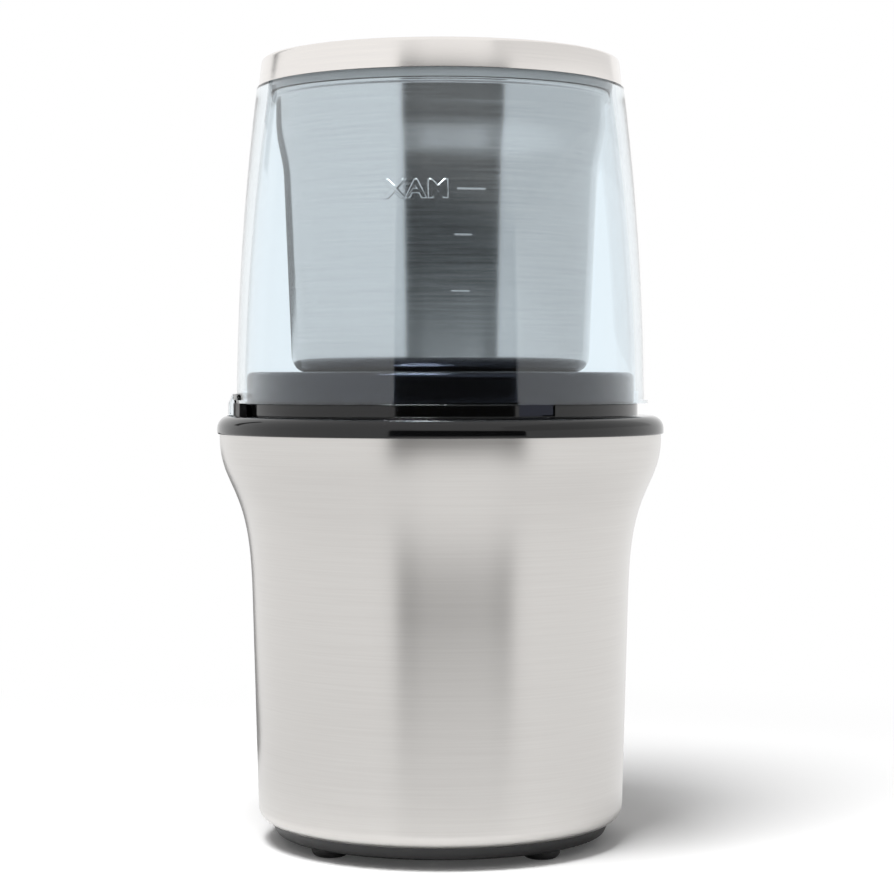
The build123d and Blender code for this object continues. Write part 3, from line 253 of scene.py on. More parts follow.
def arc_sweep(name, profile, azimuth, half_angle, steps=40):
    """Profile turned through part of a circle, azimuth from the front towards +X, closed by its two ends."""
    a = np.radians(np.linspace(azimuth - half_angle, azimuth + half_angle, steps))
    r, h = profile[:, :1], profile[:, 1:]
    points = np.stack((r * np.sin(a), -r * np.cos(a), h + 0 * a), -1).reshape(-1, 3)
    faces = grid_faces(len(profile), steps, True, False).tolist()
    first = np.arange(len(profile)) * steps
    return finished(name, points, faces + [first.tolist(), (first + steps - 1).tolist()])


def coil(name, centre, radius, low, high):
    """Round wire of radius w wound up Z: c(a) + w (cos b n + sin b m), with c(a) = (R cos a, R sin a, rising
    evenly), n pointing away from the axis and m square to n and to the wire, closed by its two ends."""
    a = np.linspace(0, 2 * np.pi * SPRING_TURNS, SPRING_TURNS * SPRING_STEPS + 1)[:, None, None]
    b = np.linspace(0, 2 * np.pi, WIRE_SIDES, endpoint=False)[None, :, None]
    rise = (high - low - 2 * SPRING_WIRE) / (2 * np.pi * SPRING_TURNS)
    outward = np.concatenate((np.cos(a), np.sin(a), 0 * a), -1)
    along = np.concatenate((-radius * np.sin(a), radius * np.cos(a), rise + 0 * a), -1)
    along /= np.linalg.norm(along, axis=-1, keepdims=True)
    middle = radius * outward + np.concatenate((0 * a, 0 * a, low + SPRING_WIRE + rise * a), -1)
    points = middle + SPRING_WIRE * (np.cos(b) * outward + np.sin(b) * np.cross(outward, along))
    rows, columns = points.shape[:2]
    faces = grid_faces(rows, columns, False, True).tolist()
    ends = [list(range(columns)), list(range((rows - 1) * columns, rows * columns))]
    return finished(name, points.reshape(-1, 3) + (*centre, 0), faces + ends)


def prism(name, x, y, z, azimuth=0):
    """Block between pairs of x, y and z, turned about Z by an azimuth: a 2 x 4 grid and its two ends."""
    corners = np.array([(x[i], y[j], z[k]) for i in (0, 1) for j, k in ((0, 0), (1, 0), (1, 1), (0, 1))], float)
    a = np.radians(azimuth)
    turn = np.array(((np.cos(a), -np.sin(a), 0), (np.sin(a), np.cos(a), 0), (0, 0, 1)))
    faces = grid_faces(2, 4, False, True).tolist() + [[0, 1, 2, 3], [4, 5, 6, 7]]
    return finished(name, corners @ turn.T, faces)


def rebuilt(piece, operation, others):
    """Piece with other closed shapes cut from it or joined to it, as one plain mesh."""
    for other in others:
        step = piece.modifiers.new("shape", "BOOLEAN")
        step.operation = operation
        step.solver = "EXACT"
        step.object = other
    done = bpy.data.meshes.new_from_object(piece.evaluated_get(bpy.context.evaluated_depsgraph_get()))
    piece.modifiers.clear()
    piece.data = done
    for other in others:
        bpy.data.objects.remove(other)
    done.shade_smooth()
    done.set_sharp_from_angle(angle=CREASE)
    return piece


# ---------------------------------------------------------------- finishes

def colour(text):
    """Linear colour from an sRGB hex value."""
    value = np.array([int(text[i:i + 2], 16) for i in (1, 3, 5)]) / 255
    linear = np.where(value <= 0.04045, value / 12.92, ((value + 0.055) / 1.055) ** 2.4)
    return (*linear.tolist(), 1.0)


def add(tree, kind, links=None, inputs=None, **settings):
    """Adds a node with its settings, its plain inputs and its links from other nodes' sockets."""
    node = tree.nodes.new(kind)
    for key, value in settings.items():
        setattr(node, key, value)
    for key, value in (inputs or {}).items():
        node.inputs[key].default_value = value
    for key, socket in (links or {}).items():
        tree.links.new(socket, node.inputs[key])
    return node


def blank(name):
    """New material with nothing in its tree."""
    material = bpy.data.materials.new(name)
    material.use_nodes = True
    material.node_tree.nodes.clear()
    return material, material.node_tree


def span(start, end, low, high):
    """Plain inputs of a map range that goes from low at start to high at end."""
    return {"From Min": start, "From Max": end, "To Min": low, "To Max": high}


def brush_lines(tree, across, along):
    """Fine lines round the axis: noise that changes quickly with height plus radius and slowly round the axis.
    Both rates are in changes to the millimetre."""
    place = add(tree, "ShaderNodeTexCoord").outputs["Object"]
    parts = add(tree, "ShaderNodeSeparateXYZ", {"Vector": place})
    flat = add(tree, "ShaderNodeCombineXYZ", {"X": parts.outputs["X"], "Y": parts.outputs["Y"]})
    radius = add(tree, "ShaderNodeVectorMath", {0: flat.outputs[0]}, operation="LENGTH")
    climb = add(tree, "ShaderNodeMath", {0: parts.outputs["Z"], 1: radius.outputs["Value"]}, operation="ADD")
    fast = add(tree, "ShaderNodeMath", {0: climb.outputs[0]}, {1: across / MM}, operation="MULTIPLY")
    slow = add(tree, "ShaderNodeVectorMath", {0: flat.outputs[0]}, {"Scale": along / MM}, operation="SCALE")
    lift = add(tree, "ShaderNodeCombineXYZ", {"Z": fast.outputs[0]})
    both = add(tree, "ShaderNodeVectorMath", {0: slow.outputs[0], 1: lift.outputs[0]}, operation="ADD")
    return add(tree, "ShaderNodeTexNoise", {"Vector": both.outputs[0]},
               {"Scale": 1.0, "Detail": 3.0, "Roughness": 0.6}).outputs["Fac"]


def steel(name, tint, shade, rough, spread, lines=2.2):
    """Stainless steel 18/10, spun and brushed round its axis. The lines, so many to the millimetre, are coarser
    than the real 0.05 mm grit so that they show. The eye gets soft upright bands and faint level streaks."""
    material, tree = blank(name)
    streak = brush_lines(tree, lines, 0.03)
    mix = add(tree, "ShaderNodeMix", {"Factor": streak}, data_type="RGBA")
    mix.inputs[6].default_value, mix.inputs[7].default_value = colour(shade), colour(tint)
    blur = add(tree, "ShaderNodeMapRange", {"Value": streak}, span(*NOISE_SPAN, rough - spread, rough + spread))
    bump = add(tree, "ShaderNodeBump", {"Height": streak}, {"Strength": 0.05, "Distance": 0.03 * MM})
    round_axis = add(tree, "ShaderNodeTangent", direction_type="RADIAL", axis="Z")
    shader = add(tree, "ShaderNodeBsdfPrincipled", {
        "Base Color": mix.outputs[2], "Roughness": blur.outputs[0], "Normal": bump.outputs[0],
        "Tangent": round_axis.outputs[0]}, {"Metallic": 1.0, "Anisotropic": 0.7, "Anisotropic Rotation": 0.25})
    add(tree, "ShaderNodeOutputMaterial", {"Surface": shader.outputs[0]})
    return material


def moulded(name, tone, rough, spread=0.05, grain=0.9, depth=0.02, metallic=0.0, coat=0.0, gloss="#ffffff"):
    """Moulded, cast or drawn surface: a grain in its level, in grains to the millimetre with a depth in
    millimetres, and clouds about 22 mm wide in its tone and gloss."""
    material, tree = blank(name)
    place = add(tree, "ShaderNodeTexCoord").outputs["Object"]
    grit = add(tree, "ShaderNodeTexNoise", {"Vector": place}, {"Scale": grain / MM, "Detail": 3.0})
    cloud = add(tree, "ShaderNodeTexNoise", {"Vector": place}, {"Scale": 0.045 / MM, "Detail": 2.0}).outputs["Fac"]
    mix = add(tree, "ShaderNodeMix", {"Factor": cloud}, data_type="RGBA")
    mix.inputs[6].default_value = tuple(0.8 * value for value in colour(tone)[:3]) + (1.0,)
    mix.inputs[7].default_value = colour(tone)
    blur = add(tree, "ShaderNodeMapRange", {"Value": cloud},
               span(*NOISE_SPAN, max(rough - spread, 0.02), rough + spread))
    bump = add(tree, "ShaderNodeBump", {"Height": grit.outputs["Fac"]}, {"Strength": 0.25, "Distance": depth * MM})
    shader = add(tree, "ShaderNodeBsdfPrincipled", {
        "Base Color": mix.outputs[2], "Roughness": blur.outputs[0], "Normal": bump.outputs[0]},
        {"Metallic": metallic, "Coat Weight": coat, "Coat Roughness": 0.05, "Specular Tint": colour(gloss)})
    add(tree, "ShaderNodeOutputMaterial", {"Surface": shader.outputs[0]})
    return material


def clear_plastic(name, tint):
    """Clear SAN plastic, polished in its mould: sharp reflections at the rims, a cool tint in depth, and flow
    marks about 29 mm wide in its gloss."""
    material, tree = blank(name)
    place = add(tree, "ShaderNodeTexCoord").outputs["Object"]
    flow = add(tree, "ShaderNodeTexNoise", {"Vector": place}, {"Scale": 0.035 / MM, "Detail": 1.0})
    blur = add(tree, "ShaderNodeMapRange", {"Value": flow.outputs["Fac"]}, {"To Min": 0.0, "To Max": 0.04})
    shader = add(tree, "ShaderNodeBsdfPrincipled", {"Roughness": blur.outputs[0]},
                 {"Base Color": colour(tint), "Transmission Weight": 1.0, "IOR": 1.5})
    add(tree, "ShaderNodeOutputMaterial", {"Surface": shader.outputs[0]})
    return material


FINISHES = {
    # Stainless steel, spun and brushed round the axis: warm grey with soft upright bands
    "shell_steel": lambda: steel("Stainless_steel_shell", "#dad8d5", "#cdcac7", 0.30, 0.02),
    # Stainless steel, pressed, brushed like the shell and glossier: paler, with sharper bands
    "cap_steel": lambda: steel("Stainless_steel_cap", "#f2eeea", "#e8e4e1", 0.22, 0.02),
    # Stainless steel, deep-drawn and polished over coarse lines: neutral grey, the sharpest of the three
    "cup_steel": lambda: steel("Stainless_steel_cup", "#d8d8d8", "#cacaca", 0.17, 0.03, lines=1.6),
    # ABS, high gloss from a polished mould: black with sharp lights
    "gloss_black_plastic": lambda: moulded("ABS_gloss_black", "#0a0a0b", 0.07, 0.03, grain=0.3, depth=0.003),
    # ABS, satin mould: black with a soft grey sheen
    "black_plastic": lambda: moulded("ABS_satin_black", "#1b1b1c", 0.42),
    # ABS, polished mould: black, its lights a little softer and bluer than those of the ring
    "collar_plastic": lambda: moulded("ABS_polished_black", "#08080a", 0.13, 0.03, grain=0.3, depth=0.004,
                                      gloss="#cdd3ee"),
    # SAN, polished mould: clear and cool, seen mostly by its rims
    "clear_plastic": lambda: clear_plastic("SAN_clear", "#f2f9fd"),
    # Rubber, moulded: dull black
    "foot_rubber": lambda: moulded("Rubber_black", "#161616", 0.75, grain=1.2),
    # Silicone, moulded: milky and dull
    "silicone": lambda: moulded("Silicone_milky", "#cfd0d0", 0.55),
    # Zinc-plated steel, tumbled: pale and slightly uneven
    "zinc_steel": lambda: moulded("Zinc_plated_steel", "#c2c4c6", 0.28, metallic=1.0),
    # Martensitic stainless steel, ground: grey with fine marks
    "blade_steel": lambda: moulded("Ground_steel", "#b4b4b6", 0.22, metallic=1.0),
    # Sintered bronze: brown, open-grained
    "bronze": lambda: moulded("Sintered_bronze", "#9a7448", 0.45, grain=1.5, depth=0.04, metallic=1.0),
    # Brass strip, pressed: yellow and smooth
    "brass": lambda: moulded("Pressed_brass", "#c49f5a", 0.28, metallic=1.0),
    # Enamelled copper: red-brown under a glassy coat
    "copper": lambda: moulded("Enamelled_copper", "#b0623a", 0.30, grain=1.4, depth=0.05, metallic=1.0, coat=0.6),
    # Electrical steel, stamped and stacked: dark and dull
    "lamination_steel": lambda: moulded("Stamped_laminations", "#6a6c70", 0.45, grain=1.6, depth=0.05,
                                        metallic=1.0),
    # Die-cast aluminium: pale and slightly rough
    "cast_aluminium": lambda: moulded("Die_cast_aluminium", "#b8babc", 0.48, grain=0.7, depth=0.06, metallic=1.0),
    # Pressed carbon: black and dull
    "carbon": lambda: moulded("Pressed_carbon", "#1a1a1a", 0.65),
    # Music wire, drawn: grey and bright
    "spring_steel": lambda: moulded("Drawn_spring_wire", "#a4a4a6", 0.25, metallic=1.0),
    # Polyamide, moulded: off-white
    "fan_plastic": lambda: moulded("Polyamide_natural", "#d4d2c6", 0.45),
    # Acetal, moulded: white and waxy
    "rod_plastic": lambda: moulded("Acetal_white", "#dcdbd3", 0.35),
    # Polyamide with glass fibre, moulded: black and dull
    "coupler_plastic": lambda: moulded("Polyamide_black", "#202020", 0.5),
    # Phenolic, moulded: dark brown
    "switch_plastic": lambda: moulded("Phenolic_brown", "#2c2420", 0.4),
    # Acetal, moulded: red
    "button_plastic": lambda: moulded("Acetal_red", "#a02a20", 0.35),
}
made = {}


def finish(slot):
    """The material of a slot, made once."""
    if slot not in made:
        made[slot] = FINISHES[slot]()
    return made[slot]


def dress(piece, body, slot, *nodes):
    """Gives a new piece its finish, its body and the solids that it stands for."""
    piece.data.materials.clear()
    piece.data.materials.append(finish(slot))
    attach(piece, body)
    if nodes:
        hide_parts(*nodes)
    return piece


# ---------------------------------------------------------------- studio surfaces

def looked_at(tree):
    """Camera rays alone, and rays of the camera, of gloss or through clear parts."""
    path = add(tree, "ShaderNodeLightPath").outputs
    first = add(tree, "ShaderNodeMath", {0: path["Is Camera Ray"], 1: path["Is Glossy Ray"]}, operation="MAXIMUM")
    seen = add(tree, "ShaderNodeMath", {0: first.outputs[0], 1: path["Is Transmission Ray"]}, operation="MAXIMUM")
    return path["Is Camera Ray"], seen.outputs[0]


def paper(name, tone):
    """Matt paper that takes the grinder's shadow near it and fades to plain white further out for rays that are
    looked at. Gloss sees the white from closer in, with a painted shade near the base that stands in for the
    grinder's contact shadow in its reflections."""
    material, tree = blank(name)
    camera_ray, seen = looked_at(tree)
    place = add(tree, "ShaderNodeTexCoord").outputs["Object"]
    away = add(tree, "ShaderNodeVectorMath", {0: place}, operation="LENGTH").outputs["Value"]
    glossy = add(tree, "ShaderNodeLightPath").outputs["Is Glossy Ray"]
    start, end = [add(tree, "ShaderNodeMapRange", {"Value": glossy}, {"To Min": plain, "To Max": mirrored})
                  for plain, mirrored in zip(FLOOR_FADE, FLOOR_FADE_GLOSSY)]
    fade = add(tree, "ShaderNodeMapRange", {"Value": away, "From Min": start.outputs[0],
                                            "From Max": end.outputs[0]}, interpolation_type="SMOOTHSTEP")
    glow = add(tree, "ShaderNodeMath", {0: camera_ray}, {1: FLOOR_GLOW}, operation="MULTIPLY")
    matt = add(tree, "ShaderNodeBsdfDiffuse", inputs={"Color": colour(tone)})
    light = add(tree, "ShaderNodeEmission", {"Strength": glow.outputs[0]})
    both = add(tree, "ShaderNodeAddShader", {0: matt.outputs[0], 1: light.outputs[0]})
    # Painted shade: gloss rays see the floor's white up to 7 % dimmer near the base, in place of the grinder's contact
    # shadow
    near = add(tree, "ShaderNodeMapRange", {"Value": away}, span(FLOOR_NEAR, FLOOR_FAR, FLOOR_PAINTED_SHADE, 0.0),
               interpolation_type="SMOOTHSTEP")
    dim = add(tree, "ShaderNodeMath", {0: near.outputs[0], 1: glossy}, operation="MULTIPLY")
    level = add(tree, "ShaderNodeMath", {1: dim.outputs[0]}, {0: 1.0}, operation="SUBTRACT")
    white = add(tree, "ShaderNodeEmission", {"Strength": level.outputs[0]})
    share = add(tree, "ShaderNodeMath", {0: fade.outputs[0], 1: seen}, operation="MULTIPLY")
    shown = add(tree, "ShaderNodeMixShader", {0: share.outputs[0], 1: both.outputs[0], 2: white.outputs[0]})
    add(tree, "ShaderNodeOutputMaterial", {"Surface": shown.outputs[0]})
    return material


def felt(name, ends, axis, middle, cover, through):
    """Black felt, seen only by rays that have met gloss, and where through is set only by those that have
    crossed the lid too; other rays see white. Its tone is 1 - c (1 - m (1 - s)): c is the cover and m the
    tone of its middle, both ramps along the axis (away from the front for Y), and s rises from 0, where
    |azimuth - centre| is 0.45 of the half width between the ends, to 1 at 0.85 of it."""
    centre, half = np.radians((ends[0] + ends[1]) / 2), np.radians((ends[1] - ends[0]) / 2)
    material, tree = blank("Felt_" + name)
    parts = add(tree, "ShaderNodeSeparateXYZ", {0: add(tree, "ShaderNodeTexCoord").outputs["Object"]}).outputs
    front = add(tree, "ShaderNodeMath", {0: parts["Y"]}, {1: -1.0}, operation="MULTIPLY").outputs[0]
    along = parts["Z"] if axis == "Z" else front
    turn = add(tree, "ShaderNodeMath", {0: parts["X"], 1: front}, operation="ARCTAN2")
    off = add(tree, "ShaderNodeMath", {0: turn.outputs[0]}, {1: float(centre)}, operation="SUBTRACT")
    size = add(tree, "ShaderNodeMath", {0: off.outputs[0]}, operation="ABSOLUTE").outputs[0]
    ramps = ((size, (float(FELT_INNER * half), float(FELT_OUTER * half), 1.0, 0.0)), (along, middle),
             (along, cover))
    inner, pale, cloth = [add(tree, "ShaderNodeMapRange", {"Value": value}, span(*steps),
                              interpolation_type="SMOOTHSTEP").outputs[0] for value, steps in ramps]
    light = add(tree, "ShaderNodeMath", {0: inner, 1: pale}, operation="MULTIPLY")
    dark = add(tree, "ShaderNodeMath", {1: light.outputs[0]}, {0: 1.0}, operation="SUBTRACT")
    covered = add(tree, "ShaderNodeMath", {0: dark.outputs[0], 1: cloth}, operation="MULTIPLY")
    path = add(tree, "ShaderNodeLightPath").outputs
    depth = path["Glossy Depth"]
    if through:
        crossed = add(tree, "ShaderNodeMath", {0: path["Transmission Depth"]}, {1: LID_CROSSINGS},
                      operation="GREATER_THAN")
        depth = add(tree, "ShaderNodeMath", {0: depth, 1: crossed.outputs[0]}, operation="MULTIPLY").outputs[0]
    met = add(tree, "ShaderNodeMath", {0: depth}, {1: 0.5}, operation="GREATER_THAN")
    loss = add(tree, "ShaderNodeMath", {0: covered.outputs[0], 1: met.outputs[0]}, operation="MULTIPLY")
    tone = add(tree, "ShaderNodeMath", {1: loss.outputs[0]}, {0: 1.0}, operation="SUBTRACT")
    shown = add(tree, "ShaderNodeEmission", {"Strength": tone.outputs[0]})
    add(tree, "ShaderNodeOutputMaterial", {"Surface": shown.outputs[0]})
    return material


def sheet(name, corners):
    """Flat stage piece of one quad."""
    mesh = bpy.data.meshes.new(name)
    mesh.from_pydata(corners, [], [(0, 1, 2, 3)])
    piece = placed(name, mesh)
    return piece


# ---------------------------------------------------------------- properties

class GrinderSizes(bpy.types.PropertyGroup):
    """Sizes that a user would change in the studio and on the fill marks."""
    flag_left: bpy.props.FloatProperty(
        name="Flag left", description="Left end of the dark flag, seen from the grinder",
        default=-0.37, unit="LENGTH")
    flag_right: bpy.props.FloatProperty(
        name="Flag right", description="Right end of the dark flag, seen from the grinder",
        default=0.90, unit="LENGTH")
    mark_height: bpy.props.FloatProperty(
        name="Mark height", description="Height of the fill mark's letters", default=0.0047, unit="LENGTH")
    mark_relief: bpy.props.FloatProperty(
        name="Mark relief", description="How far the fill marks stand off the cup", default=0.0004, unit="LENGTH")


class GrinderColours(bpy.types.PropertyGroup):
    """Colour of the studio."""
    floor: bpy.props.StringProperty(name="Floor", description="sRGB hex value of the floor", default="#f2f2f2")


# ---------------------------------------------------------------- pieces

def shell_side(inset):
    """One face of the shell's wall: bend, taper r = 45.6 + (h - 5.2) tan 1.57 deg, quartic Bezier flare, land.
    The flare's first three knots lie on the taper's line, so that its bend builds up from nothing."""
    lean = np.tan(np.radians(SHELL_TAPER))
    waist, top = R_SHELL + (Z_FLARE - Z_SHELL) * lean - inset, R_SHELL_TOP - inset
    low = Z_SHELL + inset
    bend = outline([(R_SHELL_LOW, low, 0), (R_SHELL - inset, low, SHELL_BEND - inset), (waist, Z_FLARE, 0)])
    climb = Z_LAND - Z_FLARE
    knots = [(waist + lean * share * climb, Z_FLARE + share * climb) for share in (0, FLARE_SHARE / 2, FLARE_SHARE)]
    knots = np.array(knots + [(top, Z_FLARE + FLARE_SHARE * climb), (top, Z_LAND)])
    t = np.linspace(0, 1, FLARE_STEPS)[1:, None]
    flare = sum(times * t ** power * (1 - t) ** (4 - power) * knots[power]
                for power, times in enumerate((1, 4, 6, 4, 1)))
    return np.concatenate((bend, flare, [(top, Z_SHELL_TOP)]))


class GRINDER_OT_shell(bpy.types.Operator):
    """Spun steel shell of the base, with the hole for the cord gland"""
    bl_idname = "grinder.shell"
    bl_label = "Body Shell"

    def execute(self, context):
        piece = lathe("shell", np.concatenate((shell_side(0), shell_side(SHELL_WALL)[::-1])))
        near, far = GLAND_REACH
        bar = lathe("hole", np.array(((0, near), (GLAND_BORE, near), (GLAND_BORE, far), (0, far))))
        points = read_points(bar.data)
        lying = np.stack((points[:, 0], points[:, 2], points[:, 1] + GLAND_HEIGHT * MM), -1)
        bar.data.vertices.foreach_set("co", lying.ravel())
        bar.data.flip_normals()
        dress(rebuilt(piece, "DIFFERENCE", [bar]), "base", "shell_steel", "body_shell")
        return {"FINISHED"}


class GRINDER_OT_feet(bpy.types.Operator):
    """Four domed rubber feet, each with a barbed stem that holds it in the base plate"""
    bl_idname = "grinder.feet"
    bl_label = "Feet"

    def execute(self, context):
        top = FOOT_INSIDE + 2 * FOOT_BARB
        profile = outline([(0, 0, 0), (FOOT_RADIUS, 0, 1.8), (FOOT_RADIUS, FOOT_SEAT, 0), (FOOT_STEM, FOOT_SEAT, 0),
                           (FOOT_STEM, FOOT_INSIDE, 0), (FOOT_STEM + FOOT_BARB, FOOT_INSIDE, 0.2),
                           (FOOT_STEM - FOOT_BARB, top, 0.2), (0, top, 0)])
        place = FOOT_CIRCLE / np.sqrt(2)
        dress(lathe("foot_set", profile, [(x * place, y * place) for x in (-1, 1) for y in (-1, 1)]),
              "base", "foot_rubber", "feet")
        return {"FINISHED"}


class GRINDER_OT_housing(bpy.types.Operator):
    """Gloss ring, neck with three key notches, ledge, bowl, trough and rod guide, and the screw posts below"""
    bl_idname = "grinder.housing"
    bl_label = "Upper Housing"

    def execute(self, context):
        piece = lathe("housing", outline([
            (R_RING, Z_RING, 0.5), (R_RING, Z_RING_TOP, 3.2), (R_NECK, Z_RING_TOP, 0.3), (R_NECK, Z_NECK, 0.5),
            (R_NECK_BORE, Z_NECK, 0.5), (R_NECK_BORE, Z_LEDGE, 0.5), (R_BOWL, Z_LEDGE, 1.0), (R_BOWL, Z_FLOOR, 1.5),
            (R_BOSS, Z_FLOOR, 0.4), (R_BOSS, Z_BOSS, 0.5), (R_BOSS_BORE, Z_BOSS, 0.5), (R_BOSS_BORE, Z_FLOOR_LOW, 0),
            (R_BOWL_OUTSIDE, Z_FLOOR_LOW, 1.0), (R_BOWL_OUTSIDE, Z_LEDGE_LOW, 0.6), (R_NECK_BORE, Z_LEDGE_LOW, 0),
            (R_NECK_BORE, Z_SKIRT, 0), (R_SKIRT, Z_SKIRT, 0), (R_SKIRT, Z_STEP, 0), (R_STEP, Z_STEP, 0),
            (R_STEP, Z_RING, 0)]))
        notches = [prism("notch", (-NOTCH_HALF, NOTCH_HALF), (-R_NECK - PAST, -R_NECK_BORE + PAST),
                         (Z_NOTCH, Z_NECK + PAST), angle) for angle in KEY_ANGLES]
        outer, top = R_NECK + TROUGH_WIDTH, Z_RING_TOP + PAST
        trough = arc_sweep("trough", np.array(((R_NECK, Z_TROUGH), (outer, Z_TROUGH), (outer, top), (R_NECK, top))),
                           PRESS_ANGLE, TROUGH_HALF)
        guide = prism("guide", (-GUIDE_HALF, GUIDE_HALF), (-GUIDE_DEPTH[1], -GUIDE_DEPTH[0]), GUIDE_HEIGHT,
                      PRESS_ANGLE)
        posts = [peg("post", POST_RADIUS, foot, POST_TOP, circle, angle)
                 for circle, foot, core, angles in POSTS for angle in angles]
        cores = [peg("core", POST_CORE, foot - PAST, core, circle, angle)
                 for circle, foot, core, angles in POSTS for angle in angles]
        rebuilt(piece, "UNION", posts)
        rebuilt(piece, "DIFFERENCE", [*notches, trough, guide, *cores])
        dress(piece, "base", "gloss_black_plastic", "upper_housing")
        return {"FINISHED"}


def cup_radius(height):
    """Radius of the cup's straight taper from its foot to its shoulder: 37.1 + 2.15 (h - 117.15) / 50.8."""
    return R_CUP + (R_SHOULDER - R_CUP) * (height - Z_CUP) / (Z_SHOULDER - Z_CUP)


def letter_mesh(text):
    """Letters with rounded edges, as a mesh in units of the type size."""
    letters = bpy.data.curves.new("fill_letters", "FONT")
    letters.body = text
    letters.size = 1.0
    letters.bevel_depth = MARK_ROUND
    letters.bevel_resolution = 3
    letters.offset = 0.2 * MARK_ROUND
    letters.space_character = MARK_GAP
    shown = placed("fill_letters", letters)
    bpy.context.view_layer.update()
    mesh = bpy.data.meshes.new_from_object(shown)
    bpy.data.objects.remove(shown)
    return mesh


def wrap(mesh, across, height, proud, relief):
    """Lays points on the cup's taper, at its radius plus the relief times 2 proud - 1, so that the front half
    stands off the wall; the angle from the mark's centre is asin(across / radius)."""
    radius = cup_radius(height)
    angle = np.arcsin(across / radius) + np.radians(FRONT)
    stand = radius + relief * (2 * proud - 1)
    points = np.stack((stand * np.sin(angle), -stand * np.cos(angle), height), -1) * MM
    mesh.vertices.foreach_set("co", points.ravel())
    mesh.update()
    closed(mesh, 1e-7)


class GRINDER_OT_cup(bpy.types.Operator):
    """Deep-drawn steel cup with its rolled lip, and the raised fill mark with its level lines"""
    bl_idname = "grinder.cup"
    bl_label = "Cup"

    def execute(self, context):
        cup = lathe("cup", outline([
            (R_BUSH, Z_CUP, 0), (R_CUP, Z_CUP, 4.0), (R_SHOULDER, Z_SHOULDER, CUP_SOFT),
            (R_CUP_NECK, Z_CUP_NECK, CUP_SOFT), (R_CUP_NECK, Z_LIP, 0.3), (R_LIP, Z_LIP, 0.5),
            (R_LIP, Z_CUP_RIM, 0.6), (R_CUP_NECK - CUP_WALL, Z_CUP_RIM, 0.6),
            (R_CUP_NECK - CUP_WALL, Z_CUP_NECK, CUP_SOFT), (R_SHOULDER - CUP_WALL, Z_SHOULDER, CUP_SOFT),
            (R_CUP - CUP_WALL, Z_CUP_FLOOR, 3.2), (R_BUSH, Z_CUP_FLOOR, 0)]))
        dress(cup, "cup", "cup_steel", "grinding_cup")
        sizes = context.scene.grinder_sizes
        mesh = letter_mesh("MAX")
        points = read_points(mesh)
        low, high = points.min(0), points.max(0)
        part = (points - low) / (high - low)
        # the letters run from right to left, because the mark is pressed to be read from inside the cup
        across = MARK_RIGHT - MARK_WIDTH * part[:, 0]
        height = MARK_LOW + sizes.mark_height / MM * part[:, 1]
        wrap(mesh, across, height, part[:, 2], sizes.mark_relief / MM)
        dress(placed("fill_mark", mesh), "cup", "cup_steel")
        turn = np.linspace(0, 2 * np.pi, LINE_SIDES, endpoint=False)
        for name, left, right, level in MARK_LINES:
            radius = cup_radius(level)
            section = np.stack((radius + LINE_RELIEF * np.cos(turn), level + LINE_HALF * np.sin(turn)), -1)
            start, end = np.degrees(np.arcsin(np.array((left, right)) / radius))
            line = arc_sweep(name, section, FRONT + (start + end) / 2, (end - start) / 2)
            dress(line, "cup", "cup_steel")
        return {"FINISHED"}


class GRINDER_OT_collar(bpy.types.Operator):
    """Polished collar under the cup: disc, skirt, hub, ribs and three keys"""
    bl_idname = "grinder.collar"
    bl_label = "Cup Collar"

    def execute(self, context):
        inside = R_COLLAR_SKIRT - COLLAR_WALL
        piece = lathe("collar", outline([
            (R_BUSH, Z_CUP, 0), (R_COLLAR, Z_CUP, 1.4), (R_COLLAR, Z_COLLAR, 0.3), (R_COLLAR_SKIRT, Z_COLLAR, 0),
            (R_COLLAR_SKIRT, Z_COLLAR_LOW, 0.6), (inside, Z_COLLAR_LOW, 0.4), (inside, Z_UNDER, 0.8),
            (R_BUSH, Z_UNDER, 0)]))
        hub, wall = COLLAR_HUB, COLLAR_HUB + 2 * RIB_HALF
        parts = [lathe("hub", np.array(((hub, Z_COLLAR_LOW), (wall, Z_COLLAR_LOW), (wall, Z_HUB_TOP),
                                        (hub, Z_HUB_TOP))))]
        parts += [prism("rib", (-RIB_HALF, RIB_HALF), (-R_COLLAR_SKIRT + PAST, -hub - PAST), (Z_RIB, Z_HUB_TOP),
                        360 / COLLAR_RIBS * index) for index in range(COLLAR_RIBS)]
        parts += [prism("key", (-KEY_HALF, KEY_HALF), (-R_KEY, -R_COLLAR_SKIRT + COLLAR_WALL / 2),
                        (Z_KEY, Z_COLLAR + PAST), angle) for angle in KEY_ANGLES]
        dress(rebuilt(piece, "UNION", parts), "cup", "collar_plastic", "cup_collar")
        return {"FINISHED"}


